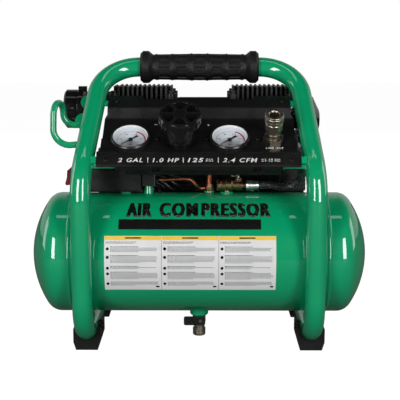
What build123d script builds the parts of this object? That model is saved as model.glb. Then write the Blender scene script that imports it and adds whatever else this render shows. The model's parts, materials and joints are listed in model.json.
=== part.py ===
"""Portable twin-cylinder air compressor: a tubular roll cage round a small horizontal tank, an
oil-free pump behind a sloping control panel, and a rubber grip on the top tube.

Millimetres. +X to the right as one faces the panel, +Y to the back, +Z up. The origin is on the
floor, under the middle of the cage.
"""

import os
from math import atan2, cos, degrees, radians, sin, sqrt

from build123d import *

os.makedirs("parts", exist_ok=True)

# Cage of bent tube
TUBE_R, TUBE_WALL = 12.7, 2.0
CAGE_X, CAGE_Y = 144.0, 138.0
RUN_Z, KNEE_Z, CROSSBAR_Z = 24.7, 228.0, 155.0
HANDLE_X, HANDLE_Z = 128.0, 357.0
LEG_BEND, KNEE_BEND, HANDLE_BEND, CROSSBAR_BEND = 50.0, 65.0, 53.0, 45.0

# Air tank, a cylinder along X with dished ends
TANK_Y, TANK_Z, TANK_R, TANK_WALL = -47.0, 118.0, 78.0, 2.0
SEAM_X, FLANGE, DISH_DEPTH, KNUCKLE_R = 163.0, 16.0, 38.0, 20.0

# Pump: two cylinders either side of a motor, shaft along X
PUMP_X, PUMP_Y, SHAFT_Z = 3.5, 30.0, 236.0
CYLINDER_X = {"left": PUMP_X - 79.5, "right": PUMP_X + 79.5}
OUTWARD = {"left": -1, "right": 1}
SHAFT_R, SHAFT_HALF, THROW, BORE_R = 6.0, 125.0, 8.0, 26.3
CASE_R, CASE_CAVITY_R, CASE_NEAR, CASE_FAR, CASE_WALL = 45.0, 33.0, 41.5, 103.5, 6.0
DECK_Z, CYLINDER_TOP, PLATE_TOP, HEAD_TOP = 276.0, 303.0, 306.0, 331.0
HEAD_WIDTH, HEAD_DEPTH, FIN_PITCH = 84.0, 70.0, 6.3
BOLT_SPAN_X, BOLT_SPAN_Y, BOSS_R, BOSS_TOP = 76.0, 55.0, 7.3, 322.0
MOTOR_SKIN, STATOR_R, ROTOR_R = 47.0, 44.0, 24.0
PLATFORM_Z, PLATFORM_TOP = CROSSBAR_Z + TUBE_R, CROSSBAR_Z + TUBE_R + 3.0

# Control panel of folded sheet; the row of controls stands square to its main face
SHEET = 1.5
PANEL_TILT, FACE_LENGTH, ROW_RISE = 31.9, 67.7, 21.6
TILT_COS, TILT_SIN = cos(radians(PANEL_TILT)), sin(radians(PANEL_TILT))
LIP, STRIP_FOOT, FOLD_LOW = (-127.2, 237.2), (-131.8, 242.8), (-122.302, 258.657)
FOLD_HIGH = (FOLD_LOW[0] + FACE_LENGTH * TILT_COS, FOLD_LOW[1] + FACE_LENGTH * TILT_SIN)
STEP_TOP, PANEL_TOP = (-61.5, 308.3), (-38.4, 321.6)
STRIP_HALF, FACE_HALF, TOP_HALF = 125.0, 119.8, 116.7
ROW = Plane(origin=(0, FOLD_LOW[0] + ROW_RISE * TILT_COS, FOLD_LOW[1] + ROW_RISE * TILT_SIN),
            x_dir=(1, 0, 0), z_dir=(0, -TILT_SIN, TILT_COS))
TANK_GAUGE_X, REGULATOR_X, OUTLET_GAUGE_X, COUPLER_X = -84.2, -22.5, 38.2, 91.6
MANIFOLD_W, MANIFOLD_SIDE = -47.0, 18.0

# Electrical box and rocker switch
BOX_X, BOX_Y, BOX_Z, BOX_WALL = (-166.4, -75.0), (-62.0, -28.0), (199.0, 230.0), 2.5
ROCKER_X, ROCKER_Y, ROCKER_Z, ROCKER_TILT = -164.6, -45.0, 215.4, 10.0

# Clearance between a shaft and what it turns or slides in
RUNNING = 0.05

LEFT_FRONT = [(-CAGE_X, 0, RUN_Z), (-CAGE_X, -CAGE_Y, RUN_Z), (-CAGE_X, -CAGE_Y, KNEE_Z),
              (-HANDLE_X, 0, HANDLE_Z)]
LEFT_REAR = [(-CAGE_X, 0, RUN_Z), (-CAGE_X, CAGE_Y, RUN_Z), (-CAGE_X, CAGE_Y, CROSSBAR_Z)]


def mirrored(points):
    """The points followed by their mirror image in the YZ plane, in reverse order."""
    return points + [(-x, y, z) for x, y, z in reversed(points)]


def tube(points, bends, radius, bore=0.0):
    """Round tube or rod along straight runs joined by bends, one bend radius a corner."""
    with BuildLine() as route:
        FilletPolyline(*points, radius=bends)
    with BuildPart() as piece:
        with BuildSketch(Plane(route.line @ 0, z_dir=route.line % 0)):
            Circle(radius)
            if bore:
                Circle(bore, mode=Mode.SUBTRACT)
        sweep(path=route.line)
    return piece.part


def turned(plane, axis, outline):
    """Solid of revolution of a closed outline drawn on the plane."""
    with BuildPart() as piece:
        with BuildSketch(plane):
            with BuildLine():
                Polyline(*outline, close=True)
            make_face()
        revolve(axis=axis)
    return piece.part


def turned_on(face, u, outline, v=0.0):
    """Turned piece whose outline is (radius, height) pairs above a point of the face."""
    origin = face.from_local_coords((u, v, 0))
    normal = face.z_dir
    section = Plane(origin=origin, x_dir=face.x_dir, z_dir=face.x_dir.cross(normal))
    return turned(section, Axis(origin, normal), outline)


def turned_along_x(y, z, outline):
    """Turned piece about a line along X; the outline is (x, radius) pairs."""
    raised = [(x, z + radius) for x, radius in outline]
    return turned(Plane.XZ.offset(-y), Axis((0, y, z), (1, 0, 0)), raised)


def prism(face, outline, height):
    """Straight prism of a closed outline of (u, v) points on the face."""
    with BuildPart() as piece:
        with BuildSketch(face):
            with BuildLine():
                Polyline(*outline, close=True)
            make_face()
        extrude(amount=height)
    return piece.part


def block(low, high):
    """Box between two opposite corners."""
    size = [b - a for a, b in zip(low, high)]
    middle = tuple((a + b) / 2 for a, b in zip(low, high))
    with BuildPart() as piece:
        with Locations(middle):
            Box(*size)
    return piece.part


def rod_between(start, end, radius):
    """Straight round bar from start to end."""
    with BuildPart() as piece:
        with BuildSketch(Plane(start, z_dir=Vector(end) - Vector(start))):
            Circle(radius)
        extrude(amount=(Vector(end) - Vector(start)).length)
    return piece.part


def pan_screw(face, shank_r=1.75, length=8.0, head_r=3.6, head_h=2.4):
    """Pan-head screw with a cross slot; the head sits on the face and the shank goes below it."""
    with BuildPart() as piece:
        with BuildSketch(face):
            Circle(head_r)
        extrude(amount=head_h)
        fillet(piece.faces().sort_by(Axis(face.origin, face.z_dir))[-1].edges(), head_h * 0.45)
        with BuildSketch(face.offset(head_h)):
            Rectangle(head_r * 1.1, 0.8)
            Rectangle(0.8, head_r * 1.1)
        extrude(amount=-head_h * 0.5, mode=Mode.SUBTRACT)
        with BuildSketch(face):
            Circle(shank_r)
        extrude(amount=-length)
    return piece.part


def save(piece, name):
    """Labels a finished piece and writes it to its own file."""
    piece.label = name
    export_step(piece, f"parts/{name}.step")


def section_points(start, end):
    """Direction and length of a fold-to-fold stretch of the panel's side view."""
    run = (end[0] - start[0], end[1] - start[1])
    length = sqrt(run[0] ** 2 + run[1] ** 2)
    return (run[0] / length, run[1] / length), length


def panel_face(start, end):
    """Plane on the outside of one stretch of the panel, centred on the stretch."""
    (dy, dz), _ = section_points(start, end)
    middle = (0, (start[0] + end[0]) / 2, (start[1] + end[1]) / 2)
    return Plane(origin=middle, x_dir=(1, 0, 0), z_dir=(0, -dz, dy))


# ---- cage ----
front_path, front_bends = mirrored(LEFT_FRONT), [LEG_BEND, KNEE_BEND, HANDLE_BEND,
                                                 HANDLE_BEND, KNEE_BEND, LEG_BEND]
rear_path, rear_bends = mirrored(LEFT_REAR), [LEG_BEND, CROSSBAR_BEND, CROSSBAR_BEND, LEG_BEND]
front_solid = tube(front_path, front_bends, TUBE_R)
rear_solid = tube(rear_path, rear_bends, TUBE_R)

FOOT_NEAR, FOOT_FAR = 45.0, 102.0
FOOT_HALF, FOOT_BASE_HALF, FOOT_CHAMFER_Z, FOOT_TOP = 17.3, 14.0, 10.5, 28.0
EAR_R, EAR_HALF = 7.5, 4.6
FOOT_SCREW_R, FOOT_SCREW_LENGTH = 2.0, 8.0
EAR_Y = (FOOT_NEAR + FOOT_FAR) / 2
FOOT_SPOTS = [(side, end) for side in (-1, 1) for end in (-1, 1)]


def ear_face(side, end):
    """Plane on the inner face of a foot's ear, facing the middle of the machine."""
    return Plane(origin=(side * (CAGE_X - FOOT_HALF), end * EAR_Y, RUN_Z), x_dir=(0, 1, 0),
                 z_dir=(-side, 0, 0))


def foot_holes():
    """Drillings for the four foot screws, through each ear and the tube's inner wall."""
    with BuildPart() as drills:
        for side, end in FOOT_SPOTS:
            with BuildSketch(ear_face(side, end)):
                Circle(FOOT_SCREW_R)
            extrude(amount=-FOOT_SCREW_LENGTH)
    return drills.part


with BuildPart() as front_hoop:
    add(tube(front_path, front_bends, TUBE_R, TUBE_R - TUBE_WALL))
    add(foot_holes(), mode=Mode.SUBTRACT)
save(front_hoop.part, "front_hoop")

with BuildPart() as rear_hoop:
    add(tube(rear_path, rear_bends, TUBE_R, TUBE_R - TUBE_WALL))
    add(foot_holes(), mode=Mode.SUBTRACT)
save(rear_hoop.part, "rear_hoop")

with BuildPart() as rubber_feet:
    for side, end in FOOT_SPOTS:
        start_y = -FOOT_NEAR if end < 0 else FOOT_FAR
        with BuildSketch(Plane.XZ.offset(-start_y)):
            with BuildLine():
                Polyline(*[(side * CAGE_X + x, z) for x, z in (
                    (-FOOT_BASE_HALF, 0), (FOOT_BASE_HALF, 0), (FOOT_HALF, FOOT_CHAMFER_Z),
                    (FOOT_HALF, FOOT_TOP), (-FOOT_HALF, FOOT_TOP), (-FOOT_HALF, FOOT_CHAMFER_Z))],
                    close=True)
            make_face()
        extrude(amount=FOOT_FAR - FOOT_NEAR)
        with BuildSketch(ear_face(side, end)):
            Circle(EAR_R)
        extrude(amount=-EAR_HALF)
    add(front_solid, mode=Mode.SUBTRACT)
    add(rear_solid, mode=Mode.SUBTRACT)
    add(foot_holes(), mode=Mode.SUBTRACT)
save(rubber_feet.part, "rubber_feet")

GRIP_HALF, COLLAR_R, COLLAR_LENGTH, GRIP_END_R, GRIP_MID_R = 77.8, 21.2, 16.5, 16.2, 17.9
COLLAR_BEVEL, POCKET_DEPTH, POCKET_PITCH, POCKET_LENGTH, POCKET_HALF = 3.0, 1.6, 23.0, 12.0, 11.0

with BuildPart() as grip_sleeve:
    inner_end = GRIP_HALF - COLLAR_LENGTH
    add(turned_along_x(0, HANDLE_Z, [
        (-GRIP_HALF, TUBE_R), (-GRIP_HALF, COLLAR_R - COLLAR_BEVEL),
        (-GRIP_HALF + COLLAR_BEVEL, COLLAR_R), (-inner_end - COLLAR_BEVEL, COLLAR_R),
        (-inner_end, GRIP_END_R), (0, GRIP_MID_R), (inner_end, GRIP_END_R),
        (inner_end + COLLAR_BEVEL, COLLAR_R), (GRIP_HALF - COLLAR_BEVEL, COLLAR_R),
        (GRIP_HALF, COLLAR_R - COLLAR_BEVEL), (GRIP_HALF, TUBE_R)]))
    with BuildSketch(Plane.XZ.offset(GRIP_END_R - POCKET_DEPTH)):
        with Locations((0, HANDLE_Z)):
            with GridLocations(POCKET_PITCH, 0, 5, 1):
                RectangleRounded(POCKET_LENGTH, POCKET_HALF, 2)
    extrude(amount=10, mode=Mode.SUBTRACT)
    with BuildSketch(Plane.XZ.offset(-GRIP_END_R + POCKET_DEPTH)):
        with Locations((0, HANDLE_Z)):
            with GridLocations(POCKET_PITCH, 0, 5, 1):
                RectangleRounded(POCKET_LENGTH, POCKET_HALF, 2)
    extrude(amount=-10, mode=Mode.SUBTRACT)
save(grip_sleeve.part, "grip_sleeve")

# ---- tank ----
KNUCKLE_RISE = TANK_R - KNUCKLE_R
CROWN_R = (KNUCKLE_RISE ** 2 + DISH_DEPTH ** 2 - KNUCKLE_R ** 2) / (2 * (DISH_DEPTH - KNUCKLE_R))
KNUCKLE_X = SEAM_X + FLANGE
CROWN_X = KNUCKLE_X + DISH_DEPTH - CROWN_R
KNUCKLE_TURN = degrees(atan2(KNUCKLE_RISE, KNUCKLE_X - CROWN_X))
tank_plane = Plane.XZ.offset(-TANK_Y)
tank_axis = Axis((0, TANK_Y, TANK_Z), (1, 0, 0))


def on_arc(side, x, rise, radius, turn):
    """Point of an arc in the tank's section, for the end on the given side."""
    return (side * (x + radius * cos(radians(turn))), TANK_Z + rise + radius * sin(radians(turn)))


def dish_section(side, inset):
    """Straight flange, knuckle arc and crown arc of a dished end, inset from its outside."""
    knuckle, crown = KNUCKLE_R - inset, CROWN_R - inset
    turn = KNUCKLE_TURN
    flange = Line((side * SEAM_X, TANK_Z + TANK_R - inset), (side * KNUCKLE_X, TANK_Z + TANK_R - inset))
    knuckle_arc = ThreePointArc(flange @ 1, on_arc(side, KNUCKLE_X, KNUCKLE_RISE, knuckle, (90 + turn) / 2),
                                on_arc(side, KNUCKLE_X, KNUCKLE_RISE, knuckle, turn))
    crown_arc = ThreePointArc(knuckle_arc @ 1, on_arc(side, CROWN_X, 0, crown, turn / 2),
                              on_arc(side, CROWN_X, 0, crown, 0))
    return flange @ 0, crown_arc @ 1


def tank_end(side):
    """One pressed end of the tank."""
    with BuildPart() as piece:
        with BuildSketch(tank_plane):
            with BuildLine():
                rim_out, pole_out = dish_section(side, 0)
                rim_in, pole_in = dish_section(side, TANK_WALL)
                Line(rim_out, rim_in)
                Line(pole_out, pole_in)
            make_face()
        revolve(axis=tank_axis)
    return piece.part


def tank_solid():
    """The tank's barrel filled in, for trimming what is welded to it."""
    return turned_along_x(TANK_Y, TANK_Z, [(-SEAM_X, 0), (-SEAM_X, TANK_R), (SEAM_X, TANK_R), (SEAM_X, 0)])


DRAIN_Y, DRAIN_BUNG_R, DRAIN_HOLE_R = -59.0, 12.0, 5.0
TANK_TOP = TANK_Z + TANK_R
SWITCH_BUNG_X, OUTLET_BUNG_X, CHECK_X, CHECK_Y = -66.0, 36.0, 13.0, -36.0

with BuildPart() as tank_shell:
    add(turned_along_x(TANK_Y, TANK_Z, [
        (-SEAM_X, TANK_R - TANK_WALL), (-SEAM_X, TANK_R), (SEAM_X, TANK_R), (SEAM_X, TANK_R - TANK_WALL)]))
    with BuildSketch(Plane.XY.offset(TANK_Z)):
        with Locations((SWITCH_BUNG_X, TANK_Y), (OUTLET_BUNG_X, TANK_Y)):
            Circle(4)
        with Locations((CHECK_X, CHECK_Y)):
            Circle(3)
    extrude(amount=TANK_R, mode=Mode.SUBTRACT)
    with BuildSketch(Plane.XY.offset(TANK_Z)):
        with Locations((0, DRAIN_Y)):
            Circle(DRAIN_HOLE_R)
    extrude(amount=-TANK_R, mode=Mode.SUBTRACT)
save(tank_shell.part, "tank_shell")
with BuildPart() as tank_ends:
    add(tank_end(-1))
    add(tank_end(1))
save(tank_ends.part, "tank_ends")

FRONT_MOUNT_X = {"left": PUMP_X - 58.5, "right": PUMP_X + 58.5}
FRONT_MOUNT_Y, FRONT_PAD_TOP, FRONT_LUG_Z = -14.0, 192.0, 199.0
REAR_MOUNT_Y, REAR_LUG_Z, MOUNT_R = PUMP_Y + 38.0, 188.0, 9.0
BOX_FEET_X = (-150.0, -95.0)
BEAD_HALF, BEAD_RISE = 2.6, 1.1


def weld_bead(side):
    """Bead of weld round the seam between the barrel and one end."""
    foot, end = (side * SEAM_X - BEAD_HALF, TANK_TOP), (side * SEAM_X + BEAD_HALF, TANK_TOP)
    with BuildPart() as piece:
        with BuildSketch(tank_plane):
            with BuildLine():
                ThreePointArc(foot, (side * SEAM_X, TANK_TOP + BEAD_RISE), end)
                Line(end, foot)
            make_face()
        revolve(axis=tank_axis)
    return piece.part


with BuildPart() as tank_fittings:
    # saddles on the bottom runs
    for side in (-1, 1):
        with BuildSketch(Plane.YZ.offset(side * CAGE_X - 3)):
            with BuildLine():
                Polyline((TANK_Y - 26, RUN_Z + 11), (TANK_Y + 26, RUN_Z + 11), (TANK_Y + 38, 62),
                         (TANK_Y - 38, 62), close=True)
            make_face()
        extrude(amount=6)
    # bosses for the pressure switch, the outlet, the check valve and the drain
    add(turned_on(Plane.XY, SWITCH_BUNG_X, [(4, 190), (6.6, 190), (6.6, 196), (5.6, 206), (4, 206)], TANK_Y))
    add(turned_on(Plane.XY, OUTLET_BUNG_X, [(4, 190), (8, 190), (8, 198), (4, 198)], TANK_Y))
    add(turned_on(Plane.XY, CHECK_X, [(3, 188), (6.5, 188), (6.5, 197.5), (3, 197.5)], CHECK_Y))
    add(turned_on(Plane.XY, 0, [(DRAIN_HOLE_R, 36), (DRAIN_BUNG_R - 1, 36), (DRAIN_BUNG_R, 37.5),
                                (DRAIN_BUNG_R, 46), (DRAIN_HOLE_R, 46)], DRAIN_Y))
    # pads for the pump's front rubbers and for the switch box
    for x in FRONT_MOUNT_X.values():
        add(block((x - 10, FRONT_MOUNT_Y - 7, 180), (x + 10, FRONT_MOUNT_Y + 7, FRONT_PAD_TOP)))
    for x in BOX_FEET_X:
        add(block((x - 6, TANK_Y - 6, 190), (x + 6, TANK_Y + 6, BOX_Z[0])))
    add(tank_solid(), mode=Mode.SUBTRACT)
    add(front_solid, mode=Mode.SUBTRACT)
    for side in (-1, 1):
        add(weld_bead(side))
save(tank_fittings.part, "tank_fittings")

# ---- drain valve ----
DRAIN_PIVOT_X, DRAIN_PIVOT_Z, LEVER_Y = 1.6, 30.5, -75.0
PIN_R, LEVER_THICK = 2.0, 3.5

with BuildPart() as drain_valve:
    add(turned_on(Plane.XY, 0, [
        (1.6, 8), (7.6, 8), (8.4, 9.5), (8.4, 13), (7.9, 13.6), (8.4, 14.2), (8.4, 17.5), (6.6, 20),
        (6.6, 22), (7.2, 23), (7.2, 25), (8.6, 26), (8.6, 36), (1.6, 36)], DRAIN_Y))
    stem_y = DRAIN_Y - 4
    with BuildSketch(Plane.XZ.offset(-stem_y)):
        with Locations((DRAIN_PIVOT_X, DRAIN_PIVOT_Z)):
            Circle(4.2)
    extrude(amount=stem_y - LEVER_Y - LEVER_THICK - 0.4)
    with BuildSketch(Plane.XZ.offset(-stem_y)):
        with Locations((DRAIN_PIVOT_X, DRAIN_PIVOT_Z)):
            Circle(PIN_R)
    extrude(amount=stem_y - LEVER_Y + 0.5)
save(drain_valve.part, "drain_valve")

LEVER_TIP_X, LEVER_HEEL_X, LEVER_HALF = -20.0, 8.2, 5.6
with BuildPart() as drain_lever:
    with BuildSketch(Plane.XZ.offset(-LEVER_Y - LEVER_THICK)):
        with Locations(((LEVER_TIP_X + LEVER_HEEL_X) / 2, DRAIN_PIVOT_Z)):
            RectangleRounded(LEVER_HEEL_X - LEVER_TIP_X, 2 * LEVER_HALF, 2.4)
        with Locations((DRAIN_PIVOT_X, DRAIN_PIVOT_Z)):
            Circle(PIN_R + RUNNING, mode=Mode.SUBTRACT)
    extrude(amount=LEVER_THICK)
    with BuildSketch(Plane.XZ.offset(-LEVER_Y)):
        with Locations((LEVER_TIP_X + 7, DRAIN_PIVOT_Z)):
            RectangleRounded(9, LEVER_HALF, 1)
    extrude(amount=-0.8, mode=Mode.SUBTRACT)
save(drain_lever.part, "drain_lever")

# ---- pump mounting ----
PLATFORM_FRONT, PLATFORM_BACK, PLATFORM_HALF = 14.0, 146.0, 92.0
with BuildPart() as pump_platform:
    with BuildSketch(Plane.XY.offset(PLATFORM_Z)):
        with Locations((PUMP_X, (PLATFORM_FRONT + PLATFORM_BACK) / 2)):
            RectangleRounded(2 * PLATFORM_HALF, PLATFORM_BACK - PLATFORM_FRONT, 6)
            with GridLocations(70, 0, 2, 1):
                SlotOverall(34, 12, mode=Mode.SUBTRACT)
    extrude(amount=PLATFORM_TOP - PLATFORM_Z)
    for x in CYLINDER_X.values():
        add(block((x - 2, 0, 130), (x + 2, 60, PLATFORM_Z)))
    with BuildSketch(Plane.YZ.offset(-PLATFORM_HALF)):
        with BuildLine():
            Polyline((34, 100), (61, 100), (61, PLATFORM_Z), close=True)
        make_face()
    extrude(amount=2.5 * PLATFORM_HALF, mode=Mode.SUBTRACT)
    add(tank_solid(), mode=Mode.SUBTRACT)
save(pump_platform.part, "pump_platform")

with BuildPart() as vibration_mounts:
    for side in CYLINDER_X:
        add(turned_on(Plane.XY, CYLINDER_X[side], [
            (0, PLATFORM_TOP), (MOUNT_R, PLATFORM_TOP), (MOUNT_R - 2, 177), (MOUNT_R - 2, 182),
            (MOUNT_R, REAR_LUG_Z), (0, REAR_LUG_Z)], REAR_MOUNT_Y))
        add(turned_on(Plane.XY, FRONT_MOUNT_X[side], [
            (0, FRONT_PAD_TOP), (7, FRONT_PAD_TOP), (5.8, 195.5), (7, FRONT_LUG_Z), (0, FRONT_LUG_Z)],
            FRONT_MOUNT_Y))
save(vibration_mounts.part, "vibration_mounts")

# ---- motor ----
HOUSING_RIBS, RIB_WIDTH = 28, 2.4
with BuildPart() as motor_housing:
    with BuildSketch(Plane.YZ.offset(PUMP_X - CASE_NEAR)):
        with Locations((PUMP_Y, SHAFT_Z)):
            Circle(MOTOR_SKIN)
            with PolarLocations(MOTOR_SKIN + 0.5, HOUSING_RIBS):
                Rectangle(5, RIB_WIDTH)
            Circle(STATOR_R, mode=Mode.SUBTRACT)
    extrude(amount=2 * CASE_NEAR)
save(motor_housing.part, "motor_housing")

STATOR_HALF, COIL_R, SLOT_COUNT = 30.0, (28.0, 40.0), 12
with BuildPart() as stator:
    with BuildSketch(Plane.YZ.offset(PUMP_X - STATOR_HALF)):
        with Locations((PUMP_Y, SHAFT_Z)):
            Circle(STATOR_R)
            Circle(ROTOR_R + 0.6, mode=Mode.SUBTRACT)
            with PolarLocations(33, SLOT_COUNT):
                Rectangle(12, 5, mode=Mode.SUBTRACT)
    extrude(amount=2 * STATOR_HALF)
    for side in (-1, 1):
        near = PUMP_X + side * STATOR_HALF
        far = near + side * 8.5
        add(turned_along_x(PUMP_Y, SHAFT_Z, [
            (near, COIL_R[0]), (near, COIL_R[1]), (far - side * 2, COIL_R[1]), (far, COIL_R[1] - 2),
            (far, COIL_R[0] + 2), (far - side * 2, COIL_R[0])]))
save(stator.part, "stator")

with BuildPart() as motor_rotor:
    add(turned_along_x(PUMP_Y, SHAFT_Z, [
        (PUMP_X - SHAFT_HALF, 0), (PUMP_X - SHAFT_HALF, SHAFT_R), (PUMP_X - 33.5, SHAFT_R),
        (PUMP_X - 33.5, ROTOR_R), (PUMP_X + 33.5, ROTOR_R), (PUMP_X + 33.5, SHAFT_R),
        (PUMP_X + SHAFT_HALF, SHAFT_R), (PUMP_X + SHAFT_HALF, 0)]))
save(motor_rotor.part, "motor_rotor")

ECCENTRIC_R, CRANK_RING_R, ECCENTRIC_HALF = 16.0, 20.0, 8.0
with BuildPart() as eccentrics:
    for x in CYLINDER_X.values():
        with BuildSketch(Plane.YZ.offset(x - ECCENTRIC_HALF)):
            with Locations((PUMP_Y + THROW, SHAFT_Z)):
                Circle(CRANK_RING_R)
            with Locations((PUMP_Y, SHAFT_Z)):
                Circle(SHAFT_R, mode=Mode.SUBTRACT)
        extrude(amount=2 * ECCENTRIC_HALF)
        with BuildSketch(Plane.YZ.offset(x + ECCENTRIC_HALF)):
            with Locations((PUMP_Y - 12, SHAFT_Z)):
                Rectangle(18, 30)
            with Locations((PUMP_Y, SHAFT_Z)):
                Circle(12)
                Circle(SHAFT_R, mode=Mode.SUBTRACT)
        extrude(amount=6)
save(eccentrics.part, "eccentrics")

FAN_R, FAN_HUB_R, FAN_BLADES, FAN_PITCH, FAN_NEAR, FAN_FAR = 32.0, 11.0, 9, 38.0, 107.5, 121.5


def fan(side):
    """Axial fan on one end of the shaft: hub, rim and pitched blades."""
    low, high = sorted((PUMP_X + side * FAN_NEAR, PUMP_X + side * FAN_FAR))
    middle = (low + high) / 2
    with BuildPart() as piece:
        with BuildSketch(Plane.YZ.offset(low)):
            with Locations((PUMP_Y, SHAFT_Z)):
                Circle(FAN_HUB_R)
                Circle(SHAFT_R, mode=Mode.SUBTRACT)
        extrude(amount=high - low)
        with BuildSketch(Plane.YZ.offset(middle - 2)):
            with Locations((PUMP_Y, SHAFT_Z)):
                Circle(FAN_R)
                Circle(FAN_R - 2, mode=Mode.SUBTRACT)
        extrude(amount=4)
        for number in range(FAN_BLADES):
            turn = radians(360 / FAN_BLADES * number)
            spoke = Vector(0, cos(turn), sin(turn))
            swirl = Vector(1, 0, 0).cross(spoke)
            normal = Vector(1, 0, 0) * cos(radians(FAN_PITCH)) + swirl * sin(radians(FAN_PITCH))
            reach = FAN_R - 1 - (FAN_HUB_R - 1)
            centre = Vector(middle, PUMP_Y, SHAFT_Z) + spoke * (FAN_HUB_R - 1 + reach / 2)
            with BuildSketch(Plane(origin=centre, x_dir=spoke, z_dir=normal)):
                Rectangle(reach, 14)
            extrude(amount=0.8, both=True)
    return piece.part


with BuildPart() as cooling_fans:
    add(fan(-1))
    add(fan(1))
save(cooling_fans.part, "cooling_fans")

GUARD_Y, GUARD_LOW, GUARD_HIGH, DUCT_HIGH, GUARD_WALL = (-16.0, 76.0), 194.0, 270.0, 250.0, 1.6
GUARD_NEAR, GUARD_FAR, DUCT_FAR, LOUVRE_PITCH = 103.5, 127.5, 138.0, 5.4


def fan_guard(side):
    """Louvred shroud over one fan, with a lower duct outside it."""
    near, far, duct = (PUMP_X + side * x for x in (GUARD_NEAR, GUARD_FAR, DUCT_FAR))
    wall = side * GUARD_WALL
    with BuildPart() as piece:
        add(block((min(near, far), GUARD_Y[0], GUARD_LOW), (max(near, far), GUARD_Y[1], GUARD_HIGH)))
        add(block((min(near, duct), GUARD_Y[0], GUARD_LOW), (max(near, duct), GUARD_Y[1], DUCT_HIGH)))
        inner = (GUARD_Y[0] + GUARD_WALL, GUARD_Y[1] - GUARD_WALL)
        add(block((min(near - wall, far - wall), inner[0], GUARD_LOW + GUARD_WALL),
                  (max(near - wall, far - wall), inner[1], GUARD_HIGH - GUARD_WALL)), mode=Mode.SUBTRACT)
        add(block((min(near - wall, duct - wall), inner[0], GUARD_LOW + GUARD_WALL),
                  (max(near - wall, duct - wall), inner[1], DUCT_HIGH - GUARD_WALL)), mode=Mode.SUBTRACT)
        for number in range(10):
            z = GUARD_LOW + 3 + number * LOUVRE_PITCH
            rib, slot = sorted((near + side * 3, duct)), sorted((duct - 2 * wall, duct + wall))
            add(block((rib[0], GUARD_Y[0] - 2, z), (rib[1], GUARD_Y[0], z + 1.8)))
            add(block((slot[0], 0, z + 1.8), (slot[1], 60, z + LOUVRE_PITCH - 0.6)), mode=Mode.SUBTRACT)
    return piece.part


with BuildPart() as fan_guards:
    add(fan_guard(-1))
    add(fan_guard(1))
save(fan_guards.part, "fan_guards")

BEARING_R = 14.0
with BuildPart() as shaft_bearings:
    for side in (-1, 1):
        for distance in (CASE_NEAR, CASE_FAR - CASE_WALL):
            low = min(PUMP_X + side * distance, PUMP_X + side * (distance + CASE_WALL))
            add(turned_along_x(PUMP_Y, SHAFT_Z, [
                (low, SHAFT_R + RUNNING), (low, BEARING_R), (low + CASE_WALL, BEARING_R),
                (low + CASE_WALL, SHAFT_R + RUNNING)]))
save(shaft_bearings.part, "shaft_bearings")

# ---- cylinders, one set each side ----
DECK_SIDE, DECK_THICK, ROD_WELL_R = 72.0, 6.0, 19.0


def crankcase(name):
    """Cup-shaped crankcase with its cylinder deck and two mounting lugs."""
    side, x = OUTWARD[name], CYLINDER_X[name]
    near, far = PUMP_X + side * CASE_NEAR, PUMP_X + side * CASE_FAR
    with BuildPart() as piece:
        add(turned_along_x(PUMP_Y, SHAFT_Z, [(near, 0), (near, CASE_R), (far - side * 4, CASE_R),
                                             (far, CASE_R - 4), (far, 0)]))
        add(block((x - 36, PUMP_Y - 50, DECK_Z), (x + 40, PUMP_Y + 50, DECK_Z + 20)), mode=Mode.SUBTRACT)
        with BuildSketch(Plane.XY.offset(DECK_Z)):
            with Locations((x, PUMP_Y)):
                RectangleRounded(DECK_SIDE, HEAD_DEPTH - 2, 6)
        extrude(amount=-DECK_THICK)
        add(block((x - 14, PUMP_Y + 8, REAR_LUG_Z), (x + 14, REAR_MOUNT_Y + 11, REAR_LUG_Z + 9)))
        front_x = FRONT_MOUNT_X[name]
        add(block((front_x - 8, FRONT_MOUNT_Y - 8, FRONT_LUG_Z), (front_x + 8, 12, FRONT_LUG_Z + 6)))
        inside = sorted((near + side * CASE_WALL, far - side * CASE_WALL))
        add(turned_along_x(PUMP_Y, SHAFT_Z, [(inside[0], 0), (inside[0], CASE_CAVITY_R),
                                             (inside[1], CASE_CAVITY_R), (inside[1], 0)]),
            mode=Mode.SUBTRACT)
        ends = sorted((near, far))
        add(turned_along_x(PUMP_Y, SHAFT_Z, [(ends[0] - 1, 0), (ends[0] - 1, BEARING_R),
                                             (ends[1] + 1, BEARING_R), (ends[1] + 1, 0)]),
            mode=Mode.SUBTRACT)
        with BuildSketch(Plane.XY.offset(SHAFT_Z)):
            with Locations((x, PUMP_Y)):
                Circle(ROD_WELL_R)
        extrude(amount=DECK_Z - SHAFT_Z, mode=Mode.SUBTRACT)
    return piece.part


def cylinder(name):
    """Finned barrel between the crankcase deck and the valve plate."""
    x = CYLINDER_X[name]
    fins = []
    for number in range(3):
        foot = DECK_Z + 7.2 + number * 4.9
        fins += [(30, foot), (35.5, foot), (35.5, foot + 1.7), (30, foot + 1.7)]
    with BuildPart() as piece:
        add(turned_on(Plane.XY, x, [(BORE_R, DECK_Z), (30, DECK_Z), *fins, (30, CYLINDER_TOP),
                                    (BORE_R, CYLINDER_TOP)], PUMP_Y))
        with BuildSketch(Plane.XY.offset(DECK_Z)):
            with Locations((x, PUMP_Y)):
                RectangleRounded(DECK_SIDE, HEAD_DEPTH - 2, 6)
                Circle(BORE_R, mode=Mode.SUBTRACT)
        extrude(amount=4)
        with BuildSketch(Plane.XY.offset(CYLINDER_TOP)):
            with Locations((x, PUMP_Y)):
                RectangleRounded(HEAD_WIDTH - 4, HEAD_DEPTH - 2, 6)
                with GridLocations(BOLT_SPAN_X, BOLT_SPAN_Y, 2, 2):
                    Circle(BOSS_R)
                    Circle(3, mode=Mode.SUBTRACT)
                Circle(BORE_R, mode=Mode.SUBTRACT)
        extrude(amount=-4.5)
    return piece.part


CROWN_LOW, CROWN_HIGH, ROD_FOOT = 286.5, 293.5, 272.8


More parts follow.
